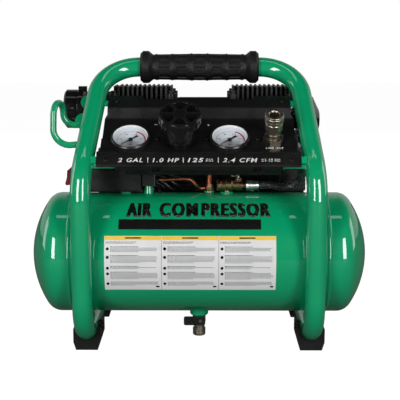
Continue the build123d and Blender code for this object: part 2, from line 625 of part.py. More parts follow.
def piston(name):
    """Wobble piston at mid stroke: a disc crown on a stub of its rod."""
    x = CYLINDER_X[name]
    with BuildPart() as piece:
        add(turned_on(Plane.XY, x, [
            (0, CROWN_LOW), (BORE_R - 1.5, CROWN_LOW), (BORE_R - RUNNING, CROWN_LOW + 2),
            (BORE_R - RUNNING, CROWN_HIGH - 1), (BORE_R - 1, CROWN_HIGH), (0, CROWN_HIGH)], PUMP_Y))
        add(block((x - 6, PUMP_Y - 7, ROD_FOOT), (x + 6, PUMP_Y + 7, CROWN_LOW)))
    return piece.part


PORT_Z = 309.8


SLOT_PITCH, SLOT_FLOOR, SLOT_WIDTH, WEB_THICK = 11.0, 320.0, 2.4, 3.0


def pump_head(name):
    """Finned head: base, slotted fins on a middle web, corner bosses and its two chambers."""
    x = CYLINDER_X[name]
    with BuildPart() as piece:
        with BuildSketch(Plane.XY.offset(PLATE_TOP)):
            with Locations((x, PUMP_Y)):
                RectangleRounded(HEAD_WIDTH, HEAD_DEPTH, 6)
        extrude(amount=8.5)
        with BuildSketch(Plane.XY.offset(PLATE_TOP)):
            with Locations((x, PUMP_Y)):
                with GridLocations(FIN_PITCH, 0, 13, 1):
                    Rectangle(2.6, HEAD_DEPTH - 2)
        extrude(amount=HEAD_TOP - PLATE_TOP)
        # slots across the fins, and webs between the slots that close the view through them
        with BuildSketch(Plane.XY.offset(SLOT_FLOOR)):
            with Locations((x, PUMP_Y)):
                with GridLocations(0, SLOT_PITCH, 1, 6):
                    Rectangle(HEAD_WIDTH, SLOT_WIDTH)
        extrude(amount=HEAD_TOP - SLOT_FLOOR, mode=Mode.SUBTRACT)
        with BuildSketch(Plane.XY.offset(PLATE_TOP)):
            with Locations((x, PUMP_Y)):
                with GridLocations(0, 2 * SLOT_PITCH, 1, 2):
                    Rectangle(12 * FIN_PITCH, WEB_THICK)
        extrude(amount=HEAD_TOP - PLATE_TOP - 0.6)
        # bosses for the bolts, clear above
        with BuildSketch(Plane.XY.offset(PLATE_TOP)):
            with Locations((x, PUMP_Y)):
                with GridLocations(BOLT_SPAN_X, BOLT_SPAN_Y, 2, 2):
                    Circle(BOSS_R)
        extrude(amount=BOSS_TOP - PLATE_TOP)
        with BuildSketch(Plane.XY.offset(BOSS_TOP)):
            with Locations((x, PUMP_Y)):
                with GridLocations(BOLT_SPAN_X, BOLT_SPAN_Y, 2, 2):
                    Circle(BOSS_R + 0.3)
        extrude(amount=HEAD_TOP - BOSS_TOP, mode=Mode.SUBTRACT)
        with BuildSketch(Plane.XY.offset(PLATE_TOP)):
            with Locations((x, PUMP_Y)):
                with GridLocations(BOLT_SPAN_X, BOLT_SPAN_Y, 2, 2):
                    Circle(3)
        extrude(amount=BOSS_TOP - PLATE_TOP, mode=Mode.SUBTRACT)
        with BuildSketch(Plane.XY.offset(PLATE_TOP)):
            with Locations((x, PUMP_Y)):
                with GridLocations(26, 0, 2, 1):
                    RectangleRounded(18, 40, 4)
        extrude(amount=5, mode=Mode.SUBTRACT)
    return piece.part


def valve_plate(name):
    """Plate with an inlet and an outlet port under each head."""
    x = CYLINDER_X[name]
    with BuildPart() as piece:
        with BuildSketch(Plane.XY.offset(CYLINDER_TOP)):
            with Locations((x, PUMP_Y)):
                RectangleRounded(HEAD_WIDTH, HEAD_DEPTH, 6)
                with GridLocations(BOLT_SPAN_X, BOLT_SPAN_Y, 2, 2):
                    Circle(BOSS_R)
                    Circle(3, mode=Mode.SUBTRACT)
                with GridLocations(26, 10, 2, 3):
                    Circle(2.5, mode=Mode.SUBTRACT)
        extrude(amount=PLATE_TOP - CYLINDER_TOP)
    return piece.part


with BuildPart() as valve_plates:
    for name in CYLINDER_X:
        add(valve_plate(name))
save(valve_plates.part, "valve_plates")

with BuildPart() as head_bolts:
    for x in CYLINDER_X.values():
        with BuildSketch(Plane.XY.offset(BOSS_TOP)):
            with Locations((x, PUMP_Y)):
                with GridLocations(BOLT_SPAN_X, BOLT_SPAN_Y, 2, 2):
                    Circle(4.6)
                    RegularPolygon(2.7, 6, mode=Mode.SUBTRACT)
        extrude(amount=3.4)
        with BuildSketch(Plane.XY.offset(CYLINDER_TOP - 4.5)):
            with Locations((x, PUMP_Y)):
                with GridLocations(BOLT_SPAN_X, BOLT_SPAN_Y, 2, 2):
                    Circle(3)
        extrude(amount=BOSS_TOP - CYLINDER_TOP + 4.5)
save(head_bolts.part, "head_bolts")

# ---- air path ----
COPPER_R, UNLOADER_R, COPPER_WALL, CROSSOVER_R = 3.1, 2.3, 0.8, 4.4
HEAD_EDGE = {"left": CYLINDER_X["left"] + HEAD_WIDTH / 2, "right": CYLINDER_X["right"] - HEAD_WIDTH / 2}
DOWN_TUBE = [(HEAD_EDGE["right"], 15, PORT_Z), (29, 15, PORT_Z), (29, -38, PORT_Z), (29, -38, 237),
             (CHECK_X, CHECK_Y, 221), (CHECK_X, CHECK_Y, 206)]
DOWN_BENDS = [9.0, 9.0, 9.0, 9.0]
UNLOADER_TUBE = [(-52.5, TANK_Y, 213), (-13, TANK_Y, 214.8), (0.5, -39, 200.4), (7, CHECK_Y, 200.2)]

with BuildPart() as discharge_tube:
    add(tube(DOWN_TUBE, DOWN_BENDS, COPPER_R, COPPER_R - COPPER_WALL))
save(discharge_tube.part, "discharge_tube")

with BuildPart() as crossover_tube:
    add(rod_between((HEAD_EDGE["left"], 40, PORT_Z), (HEAD_EDGE["right"], 40, PORT_Z), CROSSOVER_R))
save(crossover_tube.part, "crossover_tube")

with BuildPart() as check_valve:
    with BuildSketch(Plane.XY.offset(197.5)):
        with Locations((CHECK_X, CHECK_Y)):
            RegularPolygon(6, 6)
    extrude(amount=5)
    add(turned_on(Plane.XY, CHECK_X, [
        (0, 190), (3, 190), (3, 198), (4.6, 198), (4.6, 206), (0, 206)], CHECK_Y))
save(check_valve.part, "check_valve")

with BuildPart() as unloader_tube:
    add(tube(UNLOADER_TUBE, [12.0, 4.0], UNLOADER_R, UNLOADER_R - 0.7))
    add(check_valve.part, mode=Mode.SUBTRACT)
save(unloader_tube.part, "unloader_tube")

FITTING_Z, HOSE_R = 206.0, 5.0
SAFETY_X = 51.0
with BuildPart() as outlet_fitting:
    add(turned_along_x(TANK_Y, FITTING_Z, [
        (23, 0), (23, 6), (24, 7.6), (28, 7.6), (28.8, 6.9), (29.6, 7.6), (34, 7.6), (34.8, 6.9),
        (35.6, 7.6), (42, 7.6), (44, 6), (47, 6), (47, 6.6), (56, 6.6), (57, 3.4), (61, 3.4), (61, 0)]))
    with BuildSketch(Plane.XY.offset(192)):
        with Locations((OUTLET_BUNG_X, TANK_Y)):
            Circle(4)
    extrude(amount=FITTING_Z - 192)
save(outlet_fitting.part, "outlet_fitting")

SAFETY_TOP, SAFETY_PIN_R, PIN_FOOT_Z = 216.0, 1.2, 213.2
EYE, EYE_LEAN, EYE_R, EYE_WIRE, RING_R, RING_WIRE = (SAFETY_X - 1.5, 220.0), 60.0, 2.0, 0.7, 4.6, 0.7
eye_axis = (cos(radians(EYE_LEAN)), 0, sin(radians(EYE_LEAN)))


def wire_ring(centre, axis, radius, wire):
    """Round ring of wire about an axis."""
    with BuildPart(Plane(origin=centre, z_dir=axis)) as piece:
        Torus(radius, wire)
    return piece.part


with BuildPart() as safety_valve:
    with BuildSketch(Plane.XY.offset(FITTING_Z)):
        with Locations((SAFETY_X, TANK_Y)):
            RegularPolygon(4.6, 6)
            Circle(SAFETY_PIN_R + RUNNING, mode=Mode.SUBTRACT)
    extrude(amount=8)
    add(turned_on(Plane.XY, SAFETY_X, [
        (SAFETY_PIN_R + RUNNING, 214), (4, 214), (4, 215), (3.2, SAFETY_TOP),
        (SAFETY_PIN_R + RUNNING, SAFETY_TOP)], TANK_Y))
    add(outlet_fitting.part, mode=Mode.SUBTRACT)
save(safety_valve.part, "safety_valve")

with BuildPart() as safety_pin:
    add(turned_on(Plane.XY, SAFETY_X, [(0, PIN_FOOT_Z), (SAFETY_PIN_R, PIN_FOOT_Z),
                                       (SAFETY_PIN_R, EYE[1] - 1.3), (0, EYE[1] - 1.3)], TANK_Y))
    add(wire_ring((EYE[0], TANK_Y, EYE[1]), eye_axis, EYE_R, EYE_WIRE))
save(safety_pin.part, "safety_pin")

ring_centre = (EYE[0] - RING_R * eye_axis[2], TANK_Y, EYE[1] + RING_R * eye_axis[0])
save(wire_ring(ring_centre, (0, 1, 0), RING_R, RING_WIRE), "pull_ring")

FERRULE_R = 6.3
MANIFOLD_AXIS = ROW.from_local_coords((0, 0, MANIFOLD_W + MANIFOLD_SIDE / 2))
MANIFOLD_END = COUPLER_X + 11
HOSE_ROUTE = [(77, TANK_Y, FITTING_Z), (92, TANK_Y, FITTING_Z), (116, TANK_Y + 1, 202.5),
              (131, TANK_Y - 5, 214), (131, MANIFOLD_AXIS.Y, MANIFOLD_AXIS.Z),
              (MANIFOLD_END + 6, MANIFOLD_AXIS.Y, MANIFOLD_AXIS.Z)]
HOSE_BENDS = [25.0, 14.0, 14.0, 14.0]

with BuildPart() as outlet_hose:
    add(tube(HOSE_ROUTE, HOSE_BENDS, HOSE_R, HOSE_R - 2))
save(outlet_hose.part, "outlet_hose")

with BuildPart() as hose_ferrules:
    add(turned_along_x(TANK_Y, FITTING_Z, [
        (61, 0), (61, FERRULE_R), (63, FERRULE_R + 0.5), (75, FERRULE_R - 0.6), (77, 5.4), (77, 0)]))
    add(turned_along_x(MANIFOLD_AXIS.Y, MANIFOLD_AXIS.Z, [
        (MANIFOLD_END, 0), (MANIFOLD_END, FERRULE_R), (MANIFOLD_END + 6, 5.6), (MANIFOLD_END + 6, 0)]))
save(hose_ferrules.part, "hose_ferrules")

# ---- intake ----
INTAKE_Y, FILTER_Z, FILTER_R, NECK_Z, NECK_R = 20.0, 300.0, 26.0, 316.5, 7.0
HEAD_SIDE = {"left": CYLINDER_X["left"] - HEAD_WIDTH / 2, "right": CYLINDER_X["right"] + HEAD_WIDTH / 2}
with BuildPart() as intake_filter:
    add(turned_along_x(INTAKE_Y, FILTER_Z, [
        (-181.5, 0), (-181.5, FILTER_R - 3), (-179, FILTER_R), (-165, FILTER_R), (-165, FILTER_R - 1),
        (-163, FILTER_R - 1), (-163, FILTER_R + 1), (-155.5, FILTER_R + 1), (-152.5, FILTER_R - 3),
        (-152.5, 0)]))
    add(block((-163, INTAKE_Y - 6, FILTER_Z), (-152.5, INTAKE_Y + 6, 330.5)))
    add(turned_along_x(INTAKE_Y, NECK_Z, [
        (-153.5, 0), (-153.5, NECK_R), (HEAD_SIDE["left"], NECK_R), (HEAD_SIDE["left"], 0)]))
save(intake_filter.part, "intake_filter")

MUFFLER_Z, MUFFLER_R = 286.0, 32.0
with BuildPart() as intake_muffler:
    add(turned_along_x(INTAKE_Y, MUFFLER_Z, [
        (120.5, 0), (120.5, 12.4), (132, 12.4), (132, MUFFLER_R - 2), (134, MUFFLER_R), (150, MUFFLER_R),
        (152.5, MUFFLER_R - 1.5), (161, 13), (161.5, 11), (161.5, 0)]))
    add(block((126, INTAKE_Y - 9, 274), (133, INTAKE_Y + 26, 310)))
    add(turned_along_x(INTAKE_Y, NECK_Z - 4, [
        (HEAD_SIDE["right"], 0), (HEAD_SIDE["right"], 5), (140, 5), (140, 0)]))
save(intake_muffler.part, "intake_muffler")

with BuildPart() as start_capacitor:
    add(turned_along_x(100, PLATFORM_TOP + 17, [
        (-62, 0), (-62, 14), (-59, 17), (66, 17), (66, 15), (68, 15), (68, 0)]))
    add(block((-40, 94, PLATFORM_TOP), (46, 106, PLATFORM_TOP + 4)))
save(start_capacitor.part, "start_capacitor")

for name in CYLINDER_X:
    save(crankcase(name), f"crankcase_{name}")
    save(cylinder(name), f"cylinder_{name}")
    save(piston(name), f"piston_{name}")
    save(pump_head(name), f"head_{name}")

# ---- control panel ----
strip_face = panel_face(STRIP_FOOT, FOLD_LOW)
top_face = panel_face(STEP_TOP, PANEL_TOP)
GAUGE_HOLE_R, COLLAR_HOLE_R, COUPLER_HOLE_R, SCREW_R = 22.4, 14.0, 8.5, 1.75
ROW_SCREWS = ((-52.0, 4.0), (9.6, 4.0), (73.0, 4.0))
STRIP_SCREWS_X, TOP_SCREWS_X = (-113.0, 113.0), (-106.0, 106.0)
LIP_SIDE = 102.5
TOP_NOTCHES = (((-70.5, -27.0), 6.0), ((-27.0, 38.5), 10.7), ((38.5, 69.5), 6.0))

with BuildPart() as control_panel:
    with BuildSketch(Plane.YZ.offset(-STRIP_HALF)):
        with BuildLine():
            FilletPolyline(LIP, STRIP_FOOT, FOLD_LOW, FOLD_HIGH, STEP_TOP, PANEL_TOP,
                           radius=[2.0, 2.6, 2.6, 2.6])
            offset(amount=SHEET, side=Side.RIGHT)
        make_face()
    extrude(amount=2 * STRIP_HALF)
    # narrower main face and top, and the lip cut back at both ends
    for side in (-1, 1):
        with BuildSketch(ROW):
            with BuildLine():
                Polyline((side * 140, -20.5), (side * STRIP_HALF, -20.5), (side * (FACE_HALF + 1.2), -18),
                         (side * (FACE_HALF + 1.2), 5), (side * FACE_HALF, 6.5), (side * FACE_HALF, 46),
                         (side * TOP_HALF, 50), (side * TOP_HALF, 90), (side * 140, 90), close=True)
            make_face()
        extrude(amount=20, both=True, mode=Mode.SUBTRACT)
        beyond = sorted((side * LIP_SIDE, side * 140))
        add(block((beyond[0], -140, 230), (beyond[1], -110, 241.6)), mode=Mode.SUBTRACT)
    # top edge is lower in the middle, and lowest in front of the heads' inner corners
    with BuildSketch(top_face.offset(3)):
        for notch, floor in TOP_NOTCHES:
            with BuildLine():
                Polyline((notch[0] - 3, 20), (notch[0], floor), (notch[1], floor), (notch[1] + 3, 20),
                         close=True)
            make_face()
    extrude(amount=-10, mode=Mode.SUBTRACT)
    # holes for the controls and the screws
    with BuildSketch(ROW.offset(2)):
        with Locations((TANK_GAUGE_X, 0), (OUTLET_GAUGE_X, 0)):
            Circle(GAUGE_HOLE_R)
        with Locations((REGULATOR_X, 0)):
            Circle(COLLAR_HOLE_R)
        with Locations((COUPLER_X, 0)):
            Circle(COUPLER_HOLE_R)
        with Locations(*ROW_SCREWS):
            Circle(SCREW_R)
    extrude(amount=-6, mode=Mode.SUBTRACT)
    for face, spots in ((strip_face, STRIP_SCREWS_X), (top_face, TOP_SCREWS_X)):
        with BuildSketch(face.offset(2)):
            with Locations(*[(x, 0) for x in spots]):
                Circle(SCREW_R)
        extrude(amount=-6, mode=Mode.SUBTRACT)
save(control_panel.part, "control_panel")

CHANNEL_Y, CHANNEL_Z = (-125.2, -116.2), (239.2, 243.8)
TAB_THICK = 3.0
with BuildPart() as panel_brackets:
    # channel across the legs behind the panel's lip
    add(block((-CAGE_X, CHANNEL_Y[0], CHANNEL_Z[0]), (CAGE_X, CHANNEL_Y[1], CHANNEL_Z[1])))
    add(block((-200, CHANNEL_Y[0] + 2, CHANNEL_Z[0] - 1), (200, CHANNEL_Y[1] - 2, CHANNEL_Z[1] - 2)),
        mode=Mode.SUBTRACT)
    # tabs behind the panel's corner screws
    for side in (-1, 1):
        for face, x in ((strip_face, side * STRIP_SCREWS_X[1]), (top_face, side * TOP_SCREWS_X[1])):
            reach = sorted((x - side * 8, side * (CAGE_X - 4)))
            with BuildSketch(face.offset(-SHEET)):
                with Locations((sum(reach) / 2, 0)):
                    Rectangle(reach[1] - reach[0], 9)
                with Locations((x, 0)):
                    Circle(SCREW_R, mode=Mode.SUBTRACT)
            extrude(amount=-TAB_THICK)
    add(front_solid, mode=Mode.SUBTRACT)
    add(control_panel.part, mode=Mode.SUBTRACT)

CLIPS_X = (-52.0, 72.0)


CLIP_Z, CLIP_FRONT = 235.2, -128.8


def panel_clip(x):
    """Spring clip under the channel, with a tongue in front of the lip and two round prongs."""
    with BuildPart() as piece:
        add(block((x - 6, CLIP_FRONT, CLIP_Z - 1.4), (x + 6, CHANNEL_Y[1] - 1, CLIP_Z + 0.6)))
        add(block((x - 6, CHANNEL_Y[0] + 0.6, CLIP_Z), (x + 6, CHANNEL_Y[1] - 1, CHANNEL_Z[0])))
        add(rod_between((x, CLIP_FRONT + 0.6, CLIP_Z), (x, -132.3, 241.0), 1.2))
        for shift in (-3.8, 3.8):
            add(rod_between((x + shift, CLIP_FRONT + 1, CLIP_Z - 0.4),
                            (x + shift, CLIP_FRONT - 3.6, CLIP_Z - 1.6), 1.5))
    return piece.part


with BuildPart() as clips_and_screws:
    for x in CLIPS_X:
        add(panel_clip(x))
    add(panel_brackets.part, mode=Mode.SUBTRACT)
    for x, rise in ROW_SCREWS:
        add(pan_screw(Plane(origin=ROW.from_local_coords((x, rise, 0)), x_dir=(1, 0, 0), z_dir=ROW.z_dir),
                      length=5))
    for face, spots in ((strip_face, STRIP_SCREWS_X), (top_face, TOP_SCREWS_X)):
        for x in spots:
            add(pan_screw(Plane(origin=face.from_local_coords((x, 0, 0)), x_dir=(1, 0, 0), z_dir=face.z_dir),
                          length=SHEET + TAB_THICK))
    for side, end in FOOT_SPOTS:
        add(pan_screw(ear_face(side, end), FOOT_SCREW_R, FOOT_SCREW_LENGTH, 4.0, 2.4))
save(clips_and_screws.part, "clips_and_screws")

# ---- gauges ----
BEZEL_R, BEZEL_H, LENS_R, DIAL_R, NEEDLE_PIVOT_R = 24.5, 9.0, 21.8, 21.0, 1.0
LENS_W, DIAL_W, CASE_BACK_W = (5.2, 6.8), (1.0, 1.8), -22.0
BAR_TOP_W = MANIFOLD_W + MANIFOLD_SIDE


def gauge_case(u):
    """Gauge body with its bezel, its stem to the manifold and the movement's bridge."""
    with BuildPart() as piece:
        add(turned_on(ROW, u, [
            (0, BAR_TOP_W), (6, BAR_TOP_W), (6, CASE_BACK_W), (GAUGE_HOLE_R - 0.1, CASE_BACK_W),
            (GAUGE_HOLE_R - 0.1, 0), (BEZEL_R, 0), (BEZEL_R, BEZEL_H - 1.5), (BEZEL_R - 1.5, BEZEL_H),
            (LENS_R, BEZEL_H), (LENS_R, LENS_W[0]), (DIAL_R, LENS_W[0]), (DIAL_R, DIAL_W[0]),
            (DIAL_R - 0.6, DIAL_W[0]), (DIAL_R - 0.6, CASE_BACK_W + 2), (0, CASE_BACK_W + 2)]))
        with BuildSketch(ROW.offset(CASE_BACK_W + 2)):
            with Locations((u, 0)):
                RectangleRounded(16, 11, 2)
                Circle(NEEDLE_PIVOT_R + RUNNING, mode=Mode.SUBTRACT)
        extrude(amount=13)
    return piece.part


def gauge_disc(u, radius, heights, hole=0.0):
    """Flat round plate of a gauge between two heights above the panel."""
    with BuildPart() as piece:
        with BuildSketch(ROW.offset(heights[0])):
            with Locations((u, 0)):
                Circle(radius)
                if hole:
                    Circle(hole, mode=Mode.SUBTRACT)
        extrude(amount=heights[1] - heights[0])
    return piece.part


NEEDLE_TIP, NEEDLE_TAIL, ZERO_TURN = 15.8, 10.6, 221.0


def gauge_needle(u):
    """Pointer resting on zero, with its hub and spindle."""
    tip = Vector(cos(radians(ZERO_TURN)), sin(radians(ZERO_TURN)))
    side = Vector(-tip.Y, tip.X)
    centre = Vector(u, 0)
    with BuildPart() as piece:
        with BuildSketch(ROW.offset(2.9)):
            with BuildLine():
                Polyline(*[(p.X, p.Y) for p in (
                    centre + tip * NEEDLE_TIP, centre + side * 0.8, centre - tip * 4 + side * 0.9,
                    centre - tip * NEEDLE_TAIL + side * 1.5, centre - tip * NEEDLE_TAIL - side * 1.5,
                    centre - tip * 4 - side * 0.9, centre - side * 0.8)], close=True)
            make_face()
        extrude(amount=0.6)
        add(turned_on(ROW, u, [(0, CASE_BACK_W + 3), (NEEDLE_PIVOT_R, CASE_BACK_W + 3), (NEEDLE_PIVOT_R, 2.3),
                               (2.6, 2.3), (2.6, 4.0), (0, 4.4)]))
    return piece.part


with BuildPart() as gauge_cases:
    add(gauge_case(TANK_GAUGE_X))
    add(gauge_case(OUTLET_GAUGE_X))
save(gauge_cases.part, "gauge_cases")

with BuildPart() as gauge_dials:
    add(gauge_disc(TANK_GAUGE_X, DIAL_R, DIAL_W, NEEDLE_PIVOT_R + 0.5))
    add(gauge_disc(OUTLET_GAUGE_X, DIAL_R, DIAL_W, NEEDLE_PIVOT_R + 0.5))
save(gauge_dials.part, "gauge_dials")

with BuildPart() as gauge_lenses:
    add(gauge_disc(TANK_GAUGE_X, LENS_R, LENS_W))
    add(gauge_disc(OUTLET_GAUGE_X, LENS_R, LENS_W))
save(gauge_lenses.part, "gauge_lenses")

save(gauge_needle(TANK_GAUGE_X), "tank_gauge_needle")
save(gauge_needle(OUTLET_GAUGE_X), "outlet_gauge_needle")

# ---- regulator ----
SPINDLE_R, SPINDLE_FLAT, SPINDLE_W = 5.0, 3.6, (-20.0, 36.0)
KNOB_W = (4.2, 43.0)


def spindle_section(grow):
    """Round bar with one flat, for the spindle and, grown a little, for the knob's bore."""
    Circle(SPINDLE_R + grow)
    with Locations((SPINDLE_FLAT + grow + 5, 0)):
        Rectangle(10, 20, mode=Mode.SUBTRACT)


with BuildPart() as regulator_body:
    add(turned_on(ROW, REGULATOR_X, [
        (0, BAR_TOP_W), (19, BAR_TOP_W), (19, -8), (17, -SHEET), (COLLAR_HOLE_R, -SHEET), (COLLAR_HOLE_R, 0),
        (15, 0), (15, 3.4), (SPINDLE_R + RUNNING, 3.4), (SPINDLE_R + RUNNING, SPINDLE_W[0] - 1),
        (0, SPINDLE_W[0] - 1)]))
save(regulator_body.part, "regulator_body")

with BuildPart() as regulator_spindle:
    with BuildSketch(ROW.offset(SPINDLE_W[0])):
        with Locations((REGULATOR_X, 0)):
            Circle(SPINDLE_R)
    extrude(amount=4 - SPINDLE_W[0])
    with BuildSketch(Plane(origin=ROW.from_local_coords((REGULATOR_X, 0, 4)), x_dir=(1, 0, 0), z_dir=ROW.z_dir)):
        Circle(SPINDLE_R)
        with Locations((SPINDLE_FLAT + 5, 0)):
            Rectangle(10, 20, mode=Mode.SUBTRACT)
    extrude(amount=SPINDLE_W[1] - 4)
save(regulator_spindle.part, "regulator_spindle")

KNOB_SPOKES = 6
with BuildPart() as regulator_knob:
    add(turned_on(ROW, REGULATOR_X, [
        (0, KNOB_W[0]), (18, KNOB_W[0]), (18.6, 7), (22.5, 10), (26.5, 34), (26.5, 40), (25, KNOB_W[1]),
        (0, KNOB_W[1])]))
    with BuildSketch(Plane(origin=ROW.from_local_coords((REGULATOR_X, 0, KNOB_W[1])), x_dir=(1, 0, 0),
                           z_dir=ROW.z_dir)):
        Circle(22)
        Circle(8.5, mode=Mode.SUBTRACT)
        with PolarLocations(0, KNOB_SPOKES):
            with Locations((14, 0)):
                Rectangle(24, 3.6, mode=Mode.SUBTRACT)
    extrude(amount=-11, mode=Mode.SUBTRACT)
    with BuildSketch(Plane(origin=ROW.from_local_coords((REGULATOR_X, 0, 24)), x_dir=(1, 0, 0),
                           z_dir=ROW.z_dir)):
        with PolarLocations(29.4, 24):
            Circle(3.6)
    extrude(amount=20, mode=Mode.SUBTRACT)
    with BuildSketch(Plane(origin=ROW.from_local_coords((REGULATOR_X, 0, KNOB_W[0])), x_dir=(1, 0, 0),
                           z_dir=ROW.z_dir)):
        Circle(SPINDLE_R + RUNNING)
        with Locations((SPINDLE_FLAT + RUNNING + 5, 0)):
            Rectangle(10, 20, mode=Mode.SUBTRACT)
    extrude(amount=SPINDLE_W[1] + 0.3 - KNOB_W[0], mode=Mode.SUBTRACT)
save(regulator_knob.part, "regulator_knob")

# ---- quick coupler ----
SOCKET_R, SOCKET_FLOOR, COUPLER_TOP, SLEEVE_BORE = 5.9, 18.0, 42.0, 8.5
with BuildPart() as coupler_body:
    add(turned_on(ROW, COUPLER_X, [
        (0, BAR_TOP_W), (COUPLER_HOLE_R, BAR_TOP_W), (COUPLER_HOLE_R, 8), (7.2, 8.6), (7.2, 10.4),
        (9.6, 11), (9.6, 14.4), (SLEEVE_BORE, 14.4), (SLEEVE_BORE, COUPLER_TOP - 1.8),
        (11.2, COUPLER_TOP - 1.8), (11.2, COUPLER_TOP - 0.6), (10.6, COUPLER_TOP), (SOCKET_R + 1.2, COUPLER_TOP),
        (SOCKET_R, COUPLER_TOP - 1.2), (SOCKET_R, SOCKET_FLOOR), (0, SOCKET_FLOOR)]))
    with BuildSketch(ROW):
        with Locations((COUPLER_X, 0)):
            RegularPolygon(13, 6, rotation=12)
    extrude(amount=7.6)
save(coupler_body.part, "coupler_body")

SLEEVE_W, SLEEVE_R = (20.0, 39.8), 11.75
with BuildPart() as coupler_sleeve:
    low, high = SLEEVE_W
    add(turned_on(ROW, COUPLER_X, [
        (SLEEVE_BORE + RUNNING, low), (10.2, low), (10.8, low + 0.8), (10.8, low + 9.5), (10.2, low + 10.2),
        (10.2, low + 11.4), (SLEEVE_R, low + 12), (SLEEVE_R, low + 14.4), (10.6, low + 15), (10.6, low + 16.2),
        (SLEEVE_R, low + 16.8), (SLEEVE_R, high - 0.6), (SLEEVE_R - 0.6, high), (SLEEVE_BORE + RUNNING, high)]))
save(coupler_sleeve.part, "coupler_sleeve")

with BuildPart() as panel_manifold:
    with BuildSketch(ROW.offset(MANIFOLD_W)):
        with Locations(((TANK_GAUGE_X - 9 + MANIFOLD_END) / 2, 0)):
            RectangleRounded(MANIFOLD_END - TANK_GAUGE_X + 9, MANIFOLD_SIDE, 2)
    extrude(amount=MANIFOLD_SIDE)
save(panel_manifold.part, "panel_manifold")

# ---- switch box ----
BEZEL_HALF, OPENING_HALF, ROCKER_HALF = (9.0, 12.8), (6.2, 11.4), (5.7, 10.2)
LEDGE_Z, LEDGE_OUT = 220.0, 0.8
with BuildPart() as switch_box:
    low, high = zip(BOX_X, BOX_Y, BOX_Z)
    add(block(low, high))
    fillet(switch_box.edges().filter_by(Axis.X), 3)
    # the tub's front rim stands out a little under the lid
    add(block((BOX_X[0] + 5, BOX_Y[0] - LEDGE_OUT, LEDGE_Z - 3), (BOX_X[1] - 5, BOX_Y[1] - 1, LEDGE_Z)))
    add(block([c + BOX_WALL for c in low], [c - BOX_WALL for c in high]), mode=Mode.SUBTRACT)
    with BuildSketch(Plane.YZ.offset(BOX_X[0] - 1)):
        with Locations((ROCKER_Y, ROCKER_Z)):
            Rectangle(2 * OPENING_HALF[0] + 3, 2 * OPENING_HALF[1])
    extrude(amount=BOX_WALL + 2, mode=Mode.SUBTRACT)
    # rocker frame round the opening
    with BuildSketch(Plane.YZ.offset(BOX_X[0] - 1.6)):
        with Locations((ROCKER_Y, ROCKER_Z)):
            RectangleRounded(2 * BEZEL_HALF[0], 2 * BEZEL_HALF[1], 1.5)
            Rectangle(2 * OPENING_HALF[0], 2 * OPENING_HALF[1], mode=Mode.SUBTRACT)
    extrude(amount=1.6)
    for side in (-1, 1):
        inner = ROCKER_Y + side * OPENING_HALF[0]
        add(block((BOX_X[0] - 1, min(inner, inner + side * 1.5), ROCKER_Z - 11.3),
                  (BOX_X[0] + 9, max(inner, inner + side * 1.5), ROCKER_Z + 11.3)))
save(switch_box.part, "switch_box")

GLAND_X, GLAND_Z = -150.0, 212.0
with BuildPart() as cord_gland:
    with BuildSketch(Plane.XZ.offset(-BOX_Y[1])):
        with Locations((GLAND_X, GLAND_Z)):
            RegularPolygon(9, 6)
            Circle(4, mode=Mode.SUBTRACT)
    extrude(amount=-5)
    with BuildSketch(Plane.XZ.offset(-BOX_Y[1] - 5)):
        with Locations((GLAND_X, GLAND_Z)):
            Circle(7)
            Circle(4, mode=Mode.SUBTRACT)
    extrude(amount=-12, taper=12)
save(cord_gland.part, "cord_gland")

tilt = radians(ROCKER_TILT)
ROCKER_OUTLINE = [(-8.6, ROCKER_HALF[1] - 1.5), (-7.2, ROCKER_HALF[1]), (-4.5, ROCKER_HALF[1]), (1.5, 6.5),
                  (4, 0), (1.5, -6.5), (-4.5, -ROCKER_HALF[1]), (-7.2, -ROCKER_HALF[1]),
                  (-8.6, -ROCKER_HALF[1] + 1.5), (-7.6, 0)]
with BuildPart() as rocker:
    add(prism(Plane(origin=(ROCKER_X, ROCKER_Y + ROCKER_HALF[0], ROCKER_Z), x_dir=(1, 0, 0), z_dir=(0, -1, 0)),
              [(x * cos(tilt) + z * sin(tilt), z * cos(tilt) - x * sin(tilt)) for x, z in ROCKER_OUTLINE],
              2 * ROCKER_HALF[0]))
    with BuildSketch(Plane.XZ.offset(-ROCKER_Y)):
        with Locations((ROCKER_X, ROCKER_Z)):
            Circle(1.2)
    extrude(amount=OPENING_HALF[0] - 0.1, both=True)
save(rocker.part, "rocker")

SWITCH_LOW, SWITCH_HIGH = (-75.0, -57.0, 206.0), (-56.0, -37.0, 222.0)
with BuildPart() as pressure_switch:
    add(block(SWITCH_LOW, SWITCH_HIGH))
    fillet(pressure_switch.edges().filter_by(Axis.Z), 2.5)
    add(rod_between((SWITCH_HIGH[0], TANK_Y, 213), (-52.5, TANK_Y, 213), 3.4))
save(pressure_switch.part, "pressure_switch")

# ---- cord hook ----
LEG_RUN = (HANDLE_X - CAGE_X, CAGE_Y, HANDLE_Z - KNEE_Z)
LEG_LEAN = sqrt(LEG_RUN[1] ** 2 + LEG_RUN[2] ** 2)
leg_plane = Plane(origin=(-CAGE_X, -CAGE_Y, KNEE_Z), x_dir=(1, 0, 0),
                  z_dir=(0, -LEG_RUN[2] / LEG_LEAN, LEG_RUN[1] / LEG_LEAN))
LOBES, LOBE_R, LOBE_THICK, HOOK_R = ((3.0, 131.0), (-2.0, 99.0)), 12.0, 3.0, 4.0
with BuildPart() as hook_plate:
    with BuildSketch(leg_plane.offset(-4)):
        for spot in LOBES:
            with Locations(spot):
                Circle(LOBE_R)
        with Locations((6, 112)):
            Rectangle(12, 52)
    extrude(amount=-LOBE_THICK)
    add(front_solid, mode=Mode.SUBTRACT)

with BuildPart() as cage_brackets:
    add(panel_brackets.part)
    add(hook_plate.part)
save(cage_brackets.part, "cage_brackets")

